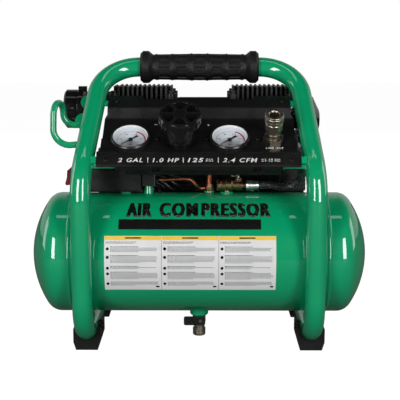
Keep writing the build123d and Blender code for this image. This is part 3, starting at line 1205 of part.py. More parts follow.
HOOK_ROUTE = [(-146, -98, 266), (-181, -100, 262.5), (-179.5, -98, 315.5), (-173, -66, 315.5),
              (-172, -64, 286), (-146, -64, 286.5)]
with BuildPart() as cord_hook:
    add(tube(HOOK_ROUTE, [20.0, 15.0, 15.0, 14.0], HOOK_R))
    add(front_solid, mode=Mode.SUBTRACT)
    add(hook_plate.part, mode=Mode.SUBTRACT)
save(cord_hook.part, "cord_hook")
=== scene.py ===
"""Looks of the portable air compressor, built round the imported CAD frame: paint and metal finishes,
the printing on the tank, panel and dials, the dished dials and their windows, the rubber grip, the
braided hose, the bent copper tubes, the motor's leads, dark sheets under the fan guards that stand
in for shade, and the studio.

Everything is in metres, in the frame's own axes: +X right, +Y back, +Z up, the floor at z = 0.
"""

import json
from math import cos, pi, radians, sin, sqrt

import bmesh
import bpy
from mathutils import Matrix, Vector
from mathutils.noise import noise


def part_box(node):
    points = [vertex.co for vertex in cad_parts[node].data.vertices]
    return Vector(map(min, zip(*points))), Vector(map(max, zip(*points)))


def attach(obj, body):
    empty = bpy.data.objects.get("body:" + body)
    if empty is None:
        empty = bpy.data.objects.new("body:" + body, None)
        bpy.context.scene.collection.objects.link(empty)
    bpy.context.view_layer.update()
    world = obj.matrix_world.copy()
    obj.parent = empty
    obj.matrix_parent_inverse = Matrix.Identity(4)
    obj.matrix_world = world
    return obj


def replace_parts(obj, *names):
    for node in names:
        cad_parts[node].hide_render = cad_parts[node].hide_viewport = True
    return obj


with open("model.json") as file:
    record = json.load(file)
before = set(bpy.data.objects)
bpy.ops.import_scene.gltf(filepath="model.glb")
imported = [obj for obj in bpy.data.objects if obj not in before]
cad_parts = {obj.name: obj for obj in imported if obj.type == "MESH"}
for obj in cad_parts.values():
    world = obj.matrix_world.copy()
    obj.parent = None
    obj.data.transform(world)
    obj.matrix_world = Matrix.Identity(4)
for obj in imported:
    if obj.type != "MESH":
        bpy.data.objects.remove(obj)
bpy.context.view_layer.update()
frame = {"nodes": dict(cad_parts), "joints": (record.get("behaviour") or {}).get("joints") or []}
nodes = frame["nodes"]
joints = {joint["name"]: joint for joint in frame["joints"]}
MM = 0.001

# ---- studio ----
CAMERA_AT, CAMERA_DIP, CAMERA_TURN, LENS = (0.011, -1.3155, 0.4101), 10.0, 0.45, 88.65
SENSOR_WIDTH, NEAR_CLIP = 36.0, 0.05
BACK_GLOW, SIDE_GLOW, FRONT_GLOW, ZENITH_GLOW = 0.45, 0.09, 0.012, 0.04
BACK_SPAN, FRONT_SPAN, ZENITH_SPAN = (0.0, 0.6), (-0.7, -0.1), (0.45, 0.85)
FLOOR_SIZE, FLOOR_BOUNCE, FLOOR_SHOWN, FLOOR_WHITE = 12.0, 0.12, 0.12, 0.97
MIDDLE, STRIP_AIM = (0, 0, 0.18), (0, 0, 0.3)
# Name, place, aim, width, height and radiance; a centre light also says if glossy surfaces mirror it
SIDE_LIGHTS = (("strip", (0.80, -1.50, 0.62), STRIP_AIM, 0.42, 1.1, 11.0),
               ("flank", (2.2, 0.3, 0.8), MIDDLE, 0.8, 1.4, 2.2))
CENTRE_LIGHTS = (("front_panel", (0, -2.4, 1.75), MIDDLE, 1.7, 0.35, 8.0, False),
                 ("top", (0, -0.35, 1.9), MIDDLE, 1.2, 0.2, 1.5, True),
                 ("rear", (0, 1.9, 1.2), MIDDLE, 1.6, 1.2, 3.5, False))


def area_light(name, at, aim, wide, tall, radiance):
    """Rectangular softbox that faces a point."""
    data = bpy.data.lights.new(name, "AREA")
    data.shape, data.size, data.size_y = "RECTANGLE", wide, tall
    data.energy = radiance * pi * wide * tall
    lamp = bpy.data.objects.new(name, data)
    bpy.context.scene.collection.objects.link(lamp)
    lamp.location = at
    lamp.rotation_euler = (Vector(aim) - Vector(at)).to_track_quat("-Z", "Y").to_euler()
    return lamp


def map_range(tree, value, low, high, start, end):
    """Smooth map of a value onto another span."""
    span = tree.nodes.new("ShaderNodeMapRange")
    span.interpolation_type = "SMOOTHSTEP"
    for socket, number in (("From Min", low), ("From Max", high), ("To Min", start), ("To Max", end)):
        span.inputs[socket].default_value = number
    tree.links.new(value, span.inputs["Value"])
    return span.outputs["Result"]


def product(tree, first, second):
    """Product of two values."""
    times = tree.nodes.new("ShaderNodeMath")
    times.operation = "MULTIPLY"
    tree.links.new(first, times.inputs[0])
    tree.links.new(second, times.inputs[1])
    return times.outputs["Value"]


def surroundings():
    """White room: bright behind and at the sides, dim in front and overhead, white to the eye."""
    world = bpy.data.worlds.new("studio")
    world.use_nodes = True
    tree = world.node_tree
    room = tree.nodes["Background"]
    room.inputs["Color"].default_value = (1, 1, 1, 1)
    place = tree.nodes.new("ShaderNodeTexCoord")
    parts = tree.nodes.new("ShaderNodeSeparateXYZ")
    tree.links.new(place.outputs["Generated"], parts.inputs["Vector"])
    behind = map_range(tree, parts.outputs["Y"], *BACK_SPAN, SIDE_GLOW, BACK_GLOW)
    beside = map_range(tree, parts.outputs["Y"], *FRONT_SPAN, FRONT_GLOW / SIDE_GLOW, 1.0)
    above = map_range(tree, parts.outputs["Z"], *ZENITH_SPAN, 1.0, ZENITH_GLOW)
    tree.links.new(product(tree, product(tree, behind, beside), above), room.inputs["Strength"])
    white = tree.nodes.new("ShaderNodeBackground")
    white.inputs["Color"].default_value = (1, 1, 1, 1)
    path = tree.nodes.new("ShaderNodeLightPath")
    mixed = tree.nodes.new("ShaderNodeMixShader")
    tree.links.new(path.outputs["Is Camera Ray"], mixed.inputs["Fac"])
    tree.links.new(room.outputs["Background"], mixed.inputs[1])
    tree.links.new(white.outputs["Background"], mixed.inputs[2])
    tree.links.new(mixed.outputs["Shader"], tree.nodes["World Output"].inputs["Surface"])
    return world


def pale_floor():
    """Floor that looks nearly white with soft shadows, and throws back less light than it shows."""
    made = bpy.data.materials.new("pale_floor")
    made.use_nodes = True
    tree = made.node_tree
    principled = tree.nodes["Principled BSDF"]
    principled.inputs["Base Color"].default_value = (FLOOR_BOUNCE, FLOOR_BOUNCE, FLOOR_BOUNCE, 1)
    principled.inputs["Roughness"].default_value = 1.0
    principled.inputs["Specular IOR Level"].default_value = 0.0
    shown = tree.nodes.new("ShaderNodeBsdfDiffuse")
    shown.inputs["Color"].default_value = (FLOOR_SHOWN, FLOOR_SHOWN, FLOOR_SHOWN, 1)
    glow = tree.nodes.new("ShaderNodeEmission")
    glow.inputs["Strength"].default_value = FLOOR_WHITE
    both = tree.nodes.new("ShaderNodeAddShader")
    path = tree.nodes.new("ShaderNodeLightPath")
    mixed = tree.nodes.new("ShaderNodeMixShader")
    tree.links.new(shown.outputs["BSDF"], both.inputs[0])
    tree.links.new(glow.outputs["Emission"], both.inputs[1])
    tree.links.new(path.outputs["Is Camera Ray"], mixed.inputs["Fac"])
    tree.links.new(principled.outputs["BSDF"], mixed.inputs[1])
    tree.links.new(both.outputs["Shader"], mixed.inputs[2])
    tree.links.new(mixed.outputs["Shader"], tree.nodes["Material Output"].inputs["Surface"])
    return made


def studio():
    """Camera, pale floor and soft lights."""
    scene = bpy.context.scene
    lens = bpy.data.cameras.new("camera")
    lens.lens, lens.sensor_width, lens.clip_start = LENS, SENSOR_WIDTH, NEAR_CLIP
    camera = bpy.data.objects.new("camera", lens)
    camera.location = CAMERA_AT
    camera.rotation_euler = (radians(90 - CAMERA_DIP), 0, radians(CAMERA_TURN))
    scene.collection.objects.link(camera)
    scene.camera = camera
    scene.world = surroundings()
    scene.view_settings.view_transform = "Standard"

    for side in (-1, 1):
        for name, (x, y, z), aim, wide, tall, radiance in SIDE_LIGHTS:
            area_light(name, (side * x, y, z), aim, wide, tall, radiance)
    for name, at, aim, wide, tall, radiance, mirrored in CENTRE_LIGHTS:
        area_light(name, at, aim, wide, tall, radiance).visible_glossy = mirrored

    half = FLOOR_SIZE / 2
    floor = mesh_piece("floor", [(-half, -half, 0), (half, -half, 0), (half, half, 0), (-half, half, 0)],
                       [(0, 1, 2, 3)], pale_floor(), None)


# ---- materials ----
DRIFT_LOW, DRIFT_HIGH, LEAST_ROUGH, RELIEF_DEPTH = 0.3, 0.7, 0.02, 0.0003
CLEAR_TINT, GLASS_SHINE, GLASS_ROUGH = (0.96, 0.97, 0.98, 1), 0.05, 0.03
# The braid's pale spots are painted highlights: light laid into the hose's colour.
STRAND_SCALE, PAINTED_GLINT_EDGE = 420, (0.16, 0.2)
PAINTED_GLINT_COLOUR, STRAND_COLOUR = (0.55, 0.55, 0.55, 1), (0.014, 0.014, 0.015, 1)


def finish(name, colour, roughness, metallic=0.0, mottle=0.06, mottle_scale=40.0, grain=0.0,
           grain_scale=900.0, rough_spread=0.05, edge=0.0, coat=0.0, brushed=None, **shader):
    """Procedural surface: colour that drifts a little, grain in the relief and uneven gloss.

    Scales are per metre. edge is the radius in metres by which sharp edges look eased, and
    brushed is a direction along which the grain is drawn out.
    """
    made = bpy.data.materials.new("look_" + name)
    made.use_nodes = True
    tree = made.node_tree
    principled = tree.nodes["Principled BSDF"]
    principled.inputs["Metallic"].default_value = metallic
    principled.inputs["Coat Weight"].default_value = coat
    for socket, value in shader.items():
        principled.inputs[socket.replace("_", " ")].default_value = value
    place = tree.nodes.new("ShaderNodeTexCoord")

    drift = tree.nodes.new("ShaderNodeTexNoise")
    drift.inputs["Scale"].default_value = mottle_scale
    drift.inputs["Detail"].default_value = 4
    tree.links.new(place.outputs["Object"], drift.inputs["Vector"])
    ramp = tree.nodes.new("ShaderNodeValToRGB")
    ramp.color_ramp.elements[0].position = DRIFT_LOW
    ramp.color_ramp.elements[1].position = DRIFT_HIGH
    ramp.color_ramp.elements[0].color = (*[c * (1 - mottle) for c in colour], 1)
    ramp.color_ramp.elements[1].color = (*[min(1, c * (1 + mottle)) for c in colour], 1)
    tree.links.new(drift.outputs["Fac"], ramp.inputs["Fac"])
    tree.links.new(ramp.outputs["Color"], principled.inputs["Base Color"])

    gloss = tree.nodes.new("ShaderNodeMapRange")
    gloss.inputs["From Min"].default_value = DRIFT_LOW
    gloss.inputs["From Max"].default_value = DRIFT_HIGH
    gloss.inputs["To Min"].default_value = max(LEAST_ROUGH, roughness - rough_spread)
    gloss.inputs["To Max"].default_value = min(1, roughness + rough_spread)
    tree.links.new(drift.outputs["Fac"], gloss.inputs["Value"])
    tree.links.new(gloss.outputs["Result"], principled.inputs["Roughness"])

    normal = None
    if edge:
        bevel = tree.nodes.new("ShaderNodeBevel")
        bevel.samples = 4
        bevel.inputs["Radius"].default_value = edge
        normal = bevel.outputs["Normal"]
    if grain:
        relief = tree.nodes.new("ShaderNodeTexNoise")
        relief.inputs["Scale"].default_value = grain_scale
        relief.inputs["Detail"].default_value = 3
        if brushed:
            stretch = tree.nodes.new("ShaderNodeMapping")
            stretch.inputs["Scale"].default_value = brushed
            tree.links.new(place.outputs["Object"], stretch.inputs["Vector"])
            tree.links.new(stretch.outputs["Vector"], relief.inputs["Vector"])
        else:
            tree.links.new(place.outputs["Object"], relief.inputs["Vector"])
        bump = tree.nodes.new("ShaderNodeBump")
        bump.inputs["Strength"].default_value = grain
        bump.inputs["Distance"].default_value = RELIEF_DEPTH
        tree.links.new(relief.outputs["Fac"], bump.inputs["Height"])
        if normal:
            tree.links.new(normal, bump.inputs["Normal"])
        normal = bump.outputs["Normal"]
    if normal:
        tree.links.new(normal, principled.inputs["Normal"])
    return made


def finishes():
    """Every finish of the machine, by name."""
    return {
        "green": finish("green_paint", (0.001, 0.285, 0.118), 0.4, mottle=0.03, mottle_scale=18, grain=0.04,
                        grain_scale=220, rough_spread=0.03, coat=1.0, Coat_Roughness=0.03, Coat_IOR=1.75,
                        Specular_IOR_Level=0.1),
        "sheet": finish("black_powder_coat", (0.0055, 0.0055, 0.0055), 0.3, mottle=0.15, grain=0.12,
                        grain_scale=1600, edge=0.0009, Specular_IOR_Level=0.35),
        "casting": finish("black_casting", (0.009, 0.009, 0.0094), 0.4, mottle=0.25, mottle_scale=120,
                          grain=0.35, grain_scale=1400, edge=0.0006, Specular_IOR_Level=0.35),
        "rubber": finish("black_rubber", (0.0055, 0.0055, 0.0055), 0.45, mottle=0.2, grain=0.2,
                         grain_scale=1800, edge=0.0005, Specular_IOR_Level=0.3),
        "gloss": finish("gloss_black_plastic", (0.006, 0.006, 0.006), 0.14, mottle=0.1, grain=0.04,
                        grain_scale=500, edge=0.0008),
        "moulded": finish("moulded_black_plastic", (0.008, 0.008, 0.0085), 0.3, mottle=0.1, grain=0.1,
                          grain_scale=1500, edge=0.0005),
        "oxide": finish("black_oxide", (0.012, 0.012, 0.012), 0.35, metallic=0.6, mottle=0.3, grain=0.1,
                        edge=0.0003),
        "steel": finish("machined_steel", (0.55, 0.55, 0.54), 0.28, metallic=1.0, mottle=0.08, grain=0.15,
                        grain_scale=700, brushed=(0.1, 1, 1), edge=0.0003),
        "laminate": finish("laminated_steel", (0.3, 0.29, 0.28), 0.4, metallic=1.0, grain=0.4,
                           grain_scale=900, brushed=(6, 0.3, 0.3)),
        "alloy": finish("turned_alloy", (0.72, 0.72, 0.72), 0.3, metallic=1.0, mottle=0.06, grain=0.1,
                        edge=0.0003),
        "copper": finish("copper_tube", (0.42, 0.13, 0.07), 0.34, metallic=1.0, mottle=0.25, mottle_scale=110,
                         grain=0.05, grain_scale=600),
        "brass": finish("turned_brass", (0.36, 0.25, 0.13), 0.32, metallic=1.0, mottle=0.2, mottle_scale=160,
                        grain=0.08, edge=0.0003),
        "nickel": finish("dull_nickel", (0.34, 0.3, 0.24), 0.36, metallic=1.0, mottle=0.16, mottle_scale=140,
                         grain=0.12, grain_scale=900, edge=0.0003),
        "dial": finish("dial_face", (0.62, 0.64, 0.66), 0.5, mottle=0.02, grain=0.02),
        "lens": lens_glass(),
        "braid": braided_cover(),
        "needle": finish("needle_black", (0.008, 0.008, 0.008), 0.4, mottle=0.1),
        "rocker": finish("rocker_red", (0.19, 0.005, 0.012), 0.2, mottle=0.08, grain=0.04, edge=0.0005),
        "ink_black": finish("ink_black", (0.006, 0.006, 0.006), 0.25, mottle=0.1, rough_spread=0.03),
        "ink_white": finish("ink_white", (0.62, 0.62, 0.6), 0.45, mottle=0.04),
        "ink_red": finish("ink_red", (0.5, 0.02, 0.045), 0.45, mottle=0.04),
        "ink_grey": finish("ink_grey", (0.12, 0.12, 0.13), 0.5, mottle=0.1),
        "ink_yellow": finish("ink_yellow", (0.72, 0.45, 0.03), 0.4, mottle=0.04),
        "label": finish("label_film", (0.62, 0.62, 0.62), 0.32, mottle=0.02, grain=0.02),
    }


def lens_glass():
    """Clear window of a gauge: mostly see-through, with the surface's own reflection."""
    made = bpy.data.materials.new("clear_window")
    made.use_nodes = True
    tree = made.node_tree
    tree.nodes.remove(tree.nodes["Principled BSDF"])
    clear = tree.nodes.new("ShaderNodeBsdfTransparent")
    clear.inputs["Color"].default_value = CLEAR_TINT
    shine = tree.nodes.new("ShaderNodeBsdfGlossy")
    shine.inputs["Roughness"].default_value = GLASS_ROUGH
    mixed = tree.nodes.new("ShaderNodeMixShader")
    mixed.inputs["Fac"].default_value = GLASS_SHINE
    tree.links.new(clear.outputs["BSDF"], mixed.inputs[1])
    tree.links.new(shine.outputs["BSDF"], mixed.inputs[2])
    tree.links.new(mixed.outputs["Shader"], tree.nodes["Material Output"].inputs["Surface"])
    return made


def braided_cover():
    """Dark braided sleeve with pale spots painted into its colour as highlights where the strands turn over.
    """
    made = finish("braided_cover", (0.016, 0.016, 0.017), 0.45, grain=0.6, grain_scale=1500)
    tree = made.node_tree
    place = tree.nodes.new("ShaderNodeTexCoord")
    cells = tree.nodes.new("ShaderNodeTexVoronoi")
    cells.inputs["Scale"].default_value = STRAND_SCALE
    tree.links.new(place.outputs["Object"], cells.inputs["Vector"])
    # Painted highlights: pale colour near each cell's centre, the dark strand colour elsewhere.
    painted_glints = tree.nodes.new("ShaderNodeValToRGB")
    painted_glints.color_ramp.elements[0].position, painted_glints.color_ramp.elements[1].position = PAINTED_GLINT_EDGE
    painted_glints.color_ramp.elements[0].color = PAINTED_GLINT_COLOUR
    painted_glints.color_ramp.elements[1].color = STRAND_COLOUR
    tree.links.new(cells.outputs["Distance"], painted_glints.inputs["Fac"])
    tree.links.new(painted_glints.outputs["Color"], tree.nodes["Principled BSDF"].inputs["Base Color"])
    return made


NODE_FINISH = {
    "green": ["front_hoop", "rear_hoop", "tank_shell", "tank_ends", "tank_fittings", "cage_brackets",
              "cord_hook"],
    "sheet": ["control_panel", "pump_platform", "crossover_tube"],
    "casting": ["motor_housing", "crankcase_left", "crankcase_right", "cylinder_left", "cylinder_right",
                "head_left", "head_right", "panel_manifold", "regulator_body"],
    "rubber": ["rubber_feet", "vibration_mounts", "grip_sleeve"],
    "braid": ["outlet_hose"],
    "gloss": ["intake_filter", "intake_muffler", "regulator_knob"],
    "moulded": ["cord_gland", "cooling_fans", "fan_guards", "gauge_cases", "switch_box", "start_capacitor",
                "drain_lever", "pressure_switch"],
    "oxide": ["clips_and_screws", "head_bolts"],
    "steel": ["motor_rotor", "eccentrics", "shaft_bearings", "valve_plates", "regulator_spindle",
              "safety_pin", "pull_ring"],
    "laminate": ["stator"],
    "alloy": ["piston_left", "piston_right", "hose_ferrules"],
    "copper": ["discharge_tube", "unloader_tube"],
    "brass": ["check_valve", "outlet_fitting", "safety_valve"],
    "nickel": ["coupler_body", "coupler_sleeve", "drain_valve"],
    "dial": ["gauge_dials"],
    "lens": ["gauge_lenses"],
    "needle": ["tank_gauge_needle", "outlet_gauge_needle"],
    "rocker": ["rocker"],
}


# ---- mesh helpers ----
def mesh_piece(name, points, faces, material, body="root", smooth=False):
    """New object from points and faces, with its finish, riding on a body."""
    mesh = bpy.data.meshes.new(name)
    mesh.from_pydata([tuple(p) for p in points], [], faces)
    mesh.materials.append(material)
    mesh.polygons.foreach_set("use_smooth", [smooth] * len(mesh.polygons))
    mesh.update()
    piece = bpy.data.objects.new(name, mesh)
    bpy.context.scene.collection.objects.link(piece)
    if body:
        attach(piece, body)
    return piece


def grid_faces(rows, columns):
    """Quads between rows of points, each row a closed ring."""
    faces = []
    for i in range(rows - 1):
        for j in range(columns):
            k = (j + 1) % columns
            faces.append((i * columns + j, i * columns + k, (i + 1) * columns + k, (i + 1) * columns + j))
    return faces


def print_on(name, flat, place, material, base, rise, step=0.003):
    """Ink or film: the flat shapes, cut into narrow bands, laid on a surface and given a thickness.

    place(u, v, h) is the point of the surface at u across and v up, raised by h.
    """
    heights = [vertex.co.y for vertex in flat.verts]
    low, high = min(heights), max(heights)
    for k in range(1, int((high - low) / step) + 1):
        bmesh.ops.bisect_plane(flat, geom=flat.verts[:] + flat.edges[:] + flat.faces[:],
                               plane_co=(0, low + k * step, 0), plane_no=(0, 1, 0))
    lifted = bmesh.ops.extrude_face_region(flat, geom=flat.faces[:])
    for item in lifted["geom"]:
        if isinstance(item, bmesh.types.BMVert):
            item.co.z = rise
    bmesh.ops.recalc_face_normals(flat, faces=flat.faces[:])
    for vertex in flat.verts:
        vertex.co = place(vertex.co.x, vertex.co.y, base + vertex.co.z)
    mesh = bpy.data.meshes.new(name)
    flat.to_mesh(mesh)
    flat.free()
    mesh.materials.append(material)
    piece = bpy.data.objects.new(name, mesh)
    bpy.context.scene.collection.objects.link(piece)
    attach(piece, "root")
    return piece


LETTER_SPACE = 1.22


def words(text, width, height, centre, bold, lean=0.0, into=None):
    """Flat letters about a centre, added to a bmesh; without a width they keep their proportions."""
    curve = bpy.data.curves.new("letters", "FONT")
    curve.body, curve.offset, curve.shear = text, bold, lean
    curve.resolution_u, curve.space_character = 3, LETTER_SPACE
    holder = bpy.data.objects.new("letters", curve)
    bpy.context.scene.collection.objects.link(holder)
    bpy.context.view_layer.update()
    mesh = bpy.data.meshes.new_from_object(holder.evaluated_get(bpy.context.evaluated_depsgraph_get()))
    flat = into or bmesh.new()
    known = len(flat.verts)
    flat.from_mesh(mesh)
    flat.verts.ensure_lookup_table()
    fresh = flat.verts[known:]
    xs, ys = [v.co.x for v in fresh], [v.co.y for v in fresh]
    wide, tall = max(xs) - min(xs), max(ys) - min(ys)
    scale_x = (width or height * wide / tall) / wide
    for vertex in fresh:
        x = (vertex.co.x - min(xs) - wide / 2) * scale_x
        y = (vertex.co.y - min(ys) - tall / 2) * height / tall
        vertex.co = (centre[0] + x, centre[1] + y, 0)
    bpy.data.objects.remove(holder)
    bpy.data.curves.remove(curve)
    bpy.data.meshes.remove(mesh)
    return flat


def bar(flat, low, high, turn=0.0, pivot=(0, 0)):
    """Adds a flat rectangle, turned about a pivot, to a bmesh."""
    corners = [(low[0], low[1]), (high[0], low[1]), (high[0], high[1]), (low[0], high[1])]
    points = []
    for x, y in corners:
        points.append(flat.verts.new((pivot[0] + x * cos(turn) - y * sin(turn),
                                      pivot[1] + x * sin(turn) + y * cos(turn), 0)))
    flat.faces.new(points)


def disc(flat, centre, radius, sides=20):
    """Adds a flat disc to a bmesh."""
    flat.faces.new([flat.verts.new((centre[0] + radius * cos(2 * pi * k / sides),
                                    centre[1] + radius * sin(2 * pi * k / sides), 0)) for k in range(sides)])


def arc_band(flat, centre, inner, outer, start, end, steps=24):
    """Adds a flat band between two radii and two angles in degrees to a bmesh."""
    rings = []
    for k in range(steps + 1):
        turn = radians(start + (end - start) * k / steps)
        rings.append([flat.verts.new((centre[0] + r * cos(turn), centre[1] + r * sin(turn), 0))
                      for r in (inner, outer)])
    for near, far in zip(rings, rings[1:]):
        flat.faces.new((near[0], far[0], far[1], near[1]))


def turned(name, centre, axis, outline, material, body, sides=96, wave=None, replaced=None):
    """Surface of revolution from (radius, height) pairs; wave(height, turn) adds to the radius."""
    axis = Vector(axis).normalized()
    across = axis.orthogonal().normalized()
    other = axis.cross(across)
    points = []
    for radius, height in outline:
        for j in range(sides):
            turn = 2 * pi * j / sides
            r = radius + (wave(height, turn) if wave else 0)
            points.append(Vector(centre) + axis * height + (across * cos(turn) + other * sin(turn)) * r)
    piece = mesh_piece(name, points, grid_faces(len(outline), sides), material, body, True)
    if replaced:
        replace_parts(piece, replaced)
    return piece


ROUND_UP = 0.999


def dense(outline, step):
    """The outline with points added along each stretch, no further apart than step."""
    points = [outline[0]]
    for start, end in zip(outline, outline[1:]):
        length = sqrt((end[0] - start[0]) ** 2 + (end[1] - start[1]) ** 2)
        count = max(1, int(length / step + ROUND_UP))
        points += [(start[0] + (end[0] - start[0]) * k / count, start[1] + (end[1] - start[1]) * k / count)
                   for k in range(1, count + 1)]
    return points


def smooth(low, high, value):
    """Smooth step from 0 at low to 1 at high."""
    t = min(1.0, max(0.0, (value - low) / (high - low)))
    return t * t * (3 - 2 * t)


# ---- where things are ----
turn_joint = joints["regulator_turn"]
NORMAL = Vector(turn_joint["axis"]).normalized()
ACROSS = Vector((1, 0, 0))
UPSLOPE = NORMAL.cross(ACROSS)
JOINT_RISE = 20 * MM
knob_centre = Vector(turn_joint["pos_m"]) - NORMAL * JOINT_RISE
ROW_ORIGIN = knob_centre - ACROSS * knob_centre.x
GAUGES_X = [joints[name]["pos_m"][0] for name in ("tank_needle_turn", "outlet_needle_turn")]

shell_low, shell_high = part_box("tank_shell")
TANK_Y, TANK_Z = (shell_low.y + shell_high.y) / 2, (shell_low.z + shell_high.z) / 2
TANK_R = (shell_high.z - shell_low.z) / 2


def on_row(u, v, w):
    """Point above the panel's main face: u across, v up the slope, w out along its normal."""
    return ROW_ORIGIN + ACROSS * u + UPSLOPE * v + NORMAL * w


def on_tank(u, v, h):
    """Point on the tank's front: u along X, v the arc above mid-height, h out from the paint."""
    turn = v / TANK_R
    return Vector((u, TANK_Y - (TANK_R + h) * cos(turn), TANK_Z + (TANK_R + h) * sin(turn)))


# ---- printing on the tank ----
LABEL_X, LABEL_TURN, HEADER = (-0.1175, 0.0962), (-25.4, 26.8), 0.0052
STRIPE_X, STRIPE_TURN = (-0.1005, 0.0780), (33.0, 43.6)
NAME_PIECES = (("AIR", -0.0915, -0.0595), ("COM", -0.0500, -0.0010), ("PRESSOR", 0.0030, 0.0905))
NAME_TURN, NAME_BOLD, THICKEN = (46.5, 63.9), 0.008, 0.0013
FILM, INK, FILM_LIFT, ON_FILM, ON_HEADER = 0.00012, 0.00006, 0.00004, 0.00016, 0.00023
COLUMNS, INSET, DIVIDER_HALF = 3, 0.0004, 0.00018
HEADER_MARK_ACROSS, HEADER_MARK_DOWN = (0.36, 0.64), (0.66, 0.34)


def tank_printing(looks):
    """Lettering, stripe and the three-column instruction label, all of it generic."""
    arc = radians(1) * TANK_R
    tall, rise = (NAME_TURN[1] - NAME_TURN[0]) * arc, sum(NAME_TURN) / 2 * arc
    letters = bmesh.new()
    for text, left, right in NAME_PIECES:
        for across, up in ((-1, -1), (-1, 1), (1, -1), (1, 1), (0, 0)):
            words(text, right - left - 2 * THICKEN, tall,
                  ((left + right) / 2 + across * THICKEN, rise + up * THICKEN / 2), NAME_BOLD, into=letters)
    print_on("tank_lettering", letters, on_tank, looks["ink_black"], FILM, INK)
    stripe = bmesh.new()
    bar(stripe, (STRIPE_X[0], STRIPE_TURN[0] * arc), (STRIPE_X[1], STRIPE_TURN[1] * arc))
    print_on("tank_stripe", stripe, on_tank, looks["ink_black"], FILM, INK)

    low, high = LABEL_TURN[0] * arc, LABEL_TURN[1] * arc
    film = bmesh.new()
    bar(film, (LABEL_X[0], low), (LABEL_X[1], high))
    print_on("label_film", film, on_tank, looks["label"], FILM_LIFT, FILM)
    headers, lines, marks = bmesh.new(), bmesh.new(), bmesh.new()
    column = (LABEL_X[1] - LABEL_X[0]) / COLUMNS
    for number in range(COLUMNS):
        left = LABEL_X[0] + number * column
        bar(headers, (left + INSET, high - HEADER), (left + column - INSET, high - INSET))
        bar(marks, *((left + column * across, high - HEADER * down)
                     for across, down in zip(HEADER_MARK_ACROSS, HEADER_MARK_DOWN)))
        if number:
            bar(marks, (left - DIVIDER_HALF, low), (left + DIVIDER_HALF, high - HEADER))
        label_column(lines, marks, left, column, low, high - HEADER, number)
    print_on("label_headers", headers, on_tank, looks["ink_yellow"], ON_FILM, INK)
    print_on("label_lines", lines, on_tank, looks["ink_grey"], ON_FILM, INK)
    print_on("label_marks", marks, on_tank, looks["ink_black"], ON_HEADER, INK)


LINE_PITCH, LINE_HEIGHT = 0.00152, 0.00074
SHORT_WORD, LONG_WORD, WORD_GAP = 0.0011, 0.0052, 0.00075
TOP_GAP, BLOCK_GAP, MARKED_START, PLAIN_START = 0.0022, 0.0030, 0.0075, 0.0018
MARK_ACROSS, MARK_DROP, MARK_R = 0.0040, 0.0028, 0.0019
HEADING_REACH, LINE_REACH, LINE_SPREAD = 0.55, 0.93, 0.05
LAST_REACH, LAST_SPREAD, FULL_REACH = 0.5, 0.3, 0.985
CORNER_ACROSS, CORNER_UP = (0.9, 0.96), (0.0040, 0.0062)
# Heading lines, text lines, and whether a round mark stands beside them
BLOCKS = ((1, 1, False), (1, 4, True), (1, 6, True), (1, 2, True), (1, 6, True), (0, 4, True))


def worded_line(flat, start, end, low, high):
    """Adds one line of unreadable words: short bars with gaps between them."""
    while start < end - WORD_GAP:
        length = SHORT_WORD + LONG_WORD * abs(noise((start * 900, high * 700, 0.4)))
        bar(flat, (start, low), (min(start + length, end), high))
        start += length + WORD_GAP


def label_column(lines, marks, left, column, low, high, seed):
    """Blocks of unreadable lines, each with a round mark beside it."""
    top = high - TOP_GAP
    for block, (heading, count, marked) in enumerate(BLOCKS):
        start = left + (MARKED_START if marked else PLAIN_START)
        if marked:
            disc(marks, (left + MARK_ACROSS, top - MARK_DROP), MARK_R)
        for k in range(heading + count):
            reach = HEADING_REACH
            if k >= heading:
                reach = LINE_REACH + LINE_SPREAD * noise((seed * 7.3, block * 3.1, k * 1.7))
            if k == heading + count - 1:
                reach = LAST_REACH + LAST_SPREAD * abs(noise((seed * 5.1, block * 2.3, 9.1)))
            y = top - k * LINE_PITCH
            worded_line(marks if k < heading else lines, start,
                        start + (left + column * FULL_REACH - start) * reach, y - LINE_HEIGHT, y)
        top -= (heading + count) * LINE_PITCH + BLOCK_GAP
    bar(marks, *((left + column * across, low + up) for across, up in zip(CORNER_ACROSS, CORNER_UP)))


# ---- gauges ----
DIAL_TOP, ZERO_TURN, SWEEP, FULL_SCALE = 1.8 * MM, 221.0, 262.0, 200
DISH = ((0.0015, 0.0010), (0.0206, 0.0010), (0.0209, 0.0049), (0.0214, 0.0053), (0.02165, 0.0086),
        (0.0213, 0.0086), (0.0210, 0.0054), (0.0203, 0.0050), (0.0196, 0.0018), (0.0015, 0.0018),
        (0.0015, 0.0010))
WINDOW_R, WINDOW_FOOT, WINDOW_THICK = 0.0209, 0.0056, 0.0008
RED_ARC, RED_FROM, RED_TO = (0.0172, 0.0190), 68.0, -5.0
DIAL_LIFT, SCALE_LINE, SCALE_STEPS, DISC_SIDES = 0.00002, (0.0171, 0.01728), 60, 96
TICKS, LONG_EVERY, MEDIUM_EVERY, BAR_EVERY = 40, 8, 4, 2
TICK_END, LONG_TICK, MEDIUM_TICK, SHORT_TICK = 0.0172, 0.0148, 0.0158, 0.0163
LONG_HALF, SHORT_HALF, BAR_TICK, BAR_HALF = 0.00022, 0.0001, (0.0118, 0.0128), 0.00009
NUMBERS, NUMBER_BOLD, BAR_FIRST, BAR_STEP = 5, 0.02, 1, 3
NUMBER_R, NUMBER_CAPS, BAR_NUMBER_R, BAR_NUMBER_CAPS = 0.0127, 0.0019, 0.0102, 0.0013
PSI_CAPS, PSI_DROP, BAR_CAPS, BAR_DROP = 0.0024, 0.0085, 0.0017, 0.0125


def gauges(looks):
    """White dished dials that run up inside the rims, and their windows."""
    windows = bmesh.new()
    for number, x in enumerate(GAUGES_X):
        turned(f"dished_dial_{number}", on_row(x, 0, 0), NORMAL, DISH, looks["dial"], "root",
               replaced="gauge_dials")
        disc(windows, (x, 0), WINDOW_R, DISC_SIDES)
    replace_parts(print_on("windows", windows, on_row, looks["lens"], WINDOW_FOOT, WINDOW_THICK,
                         1), "gauge_lenses")


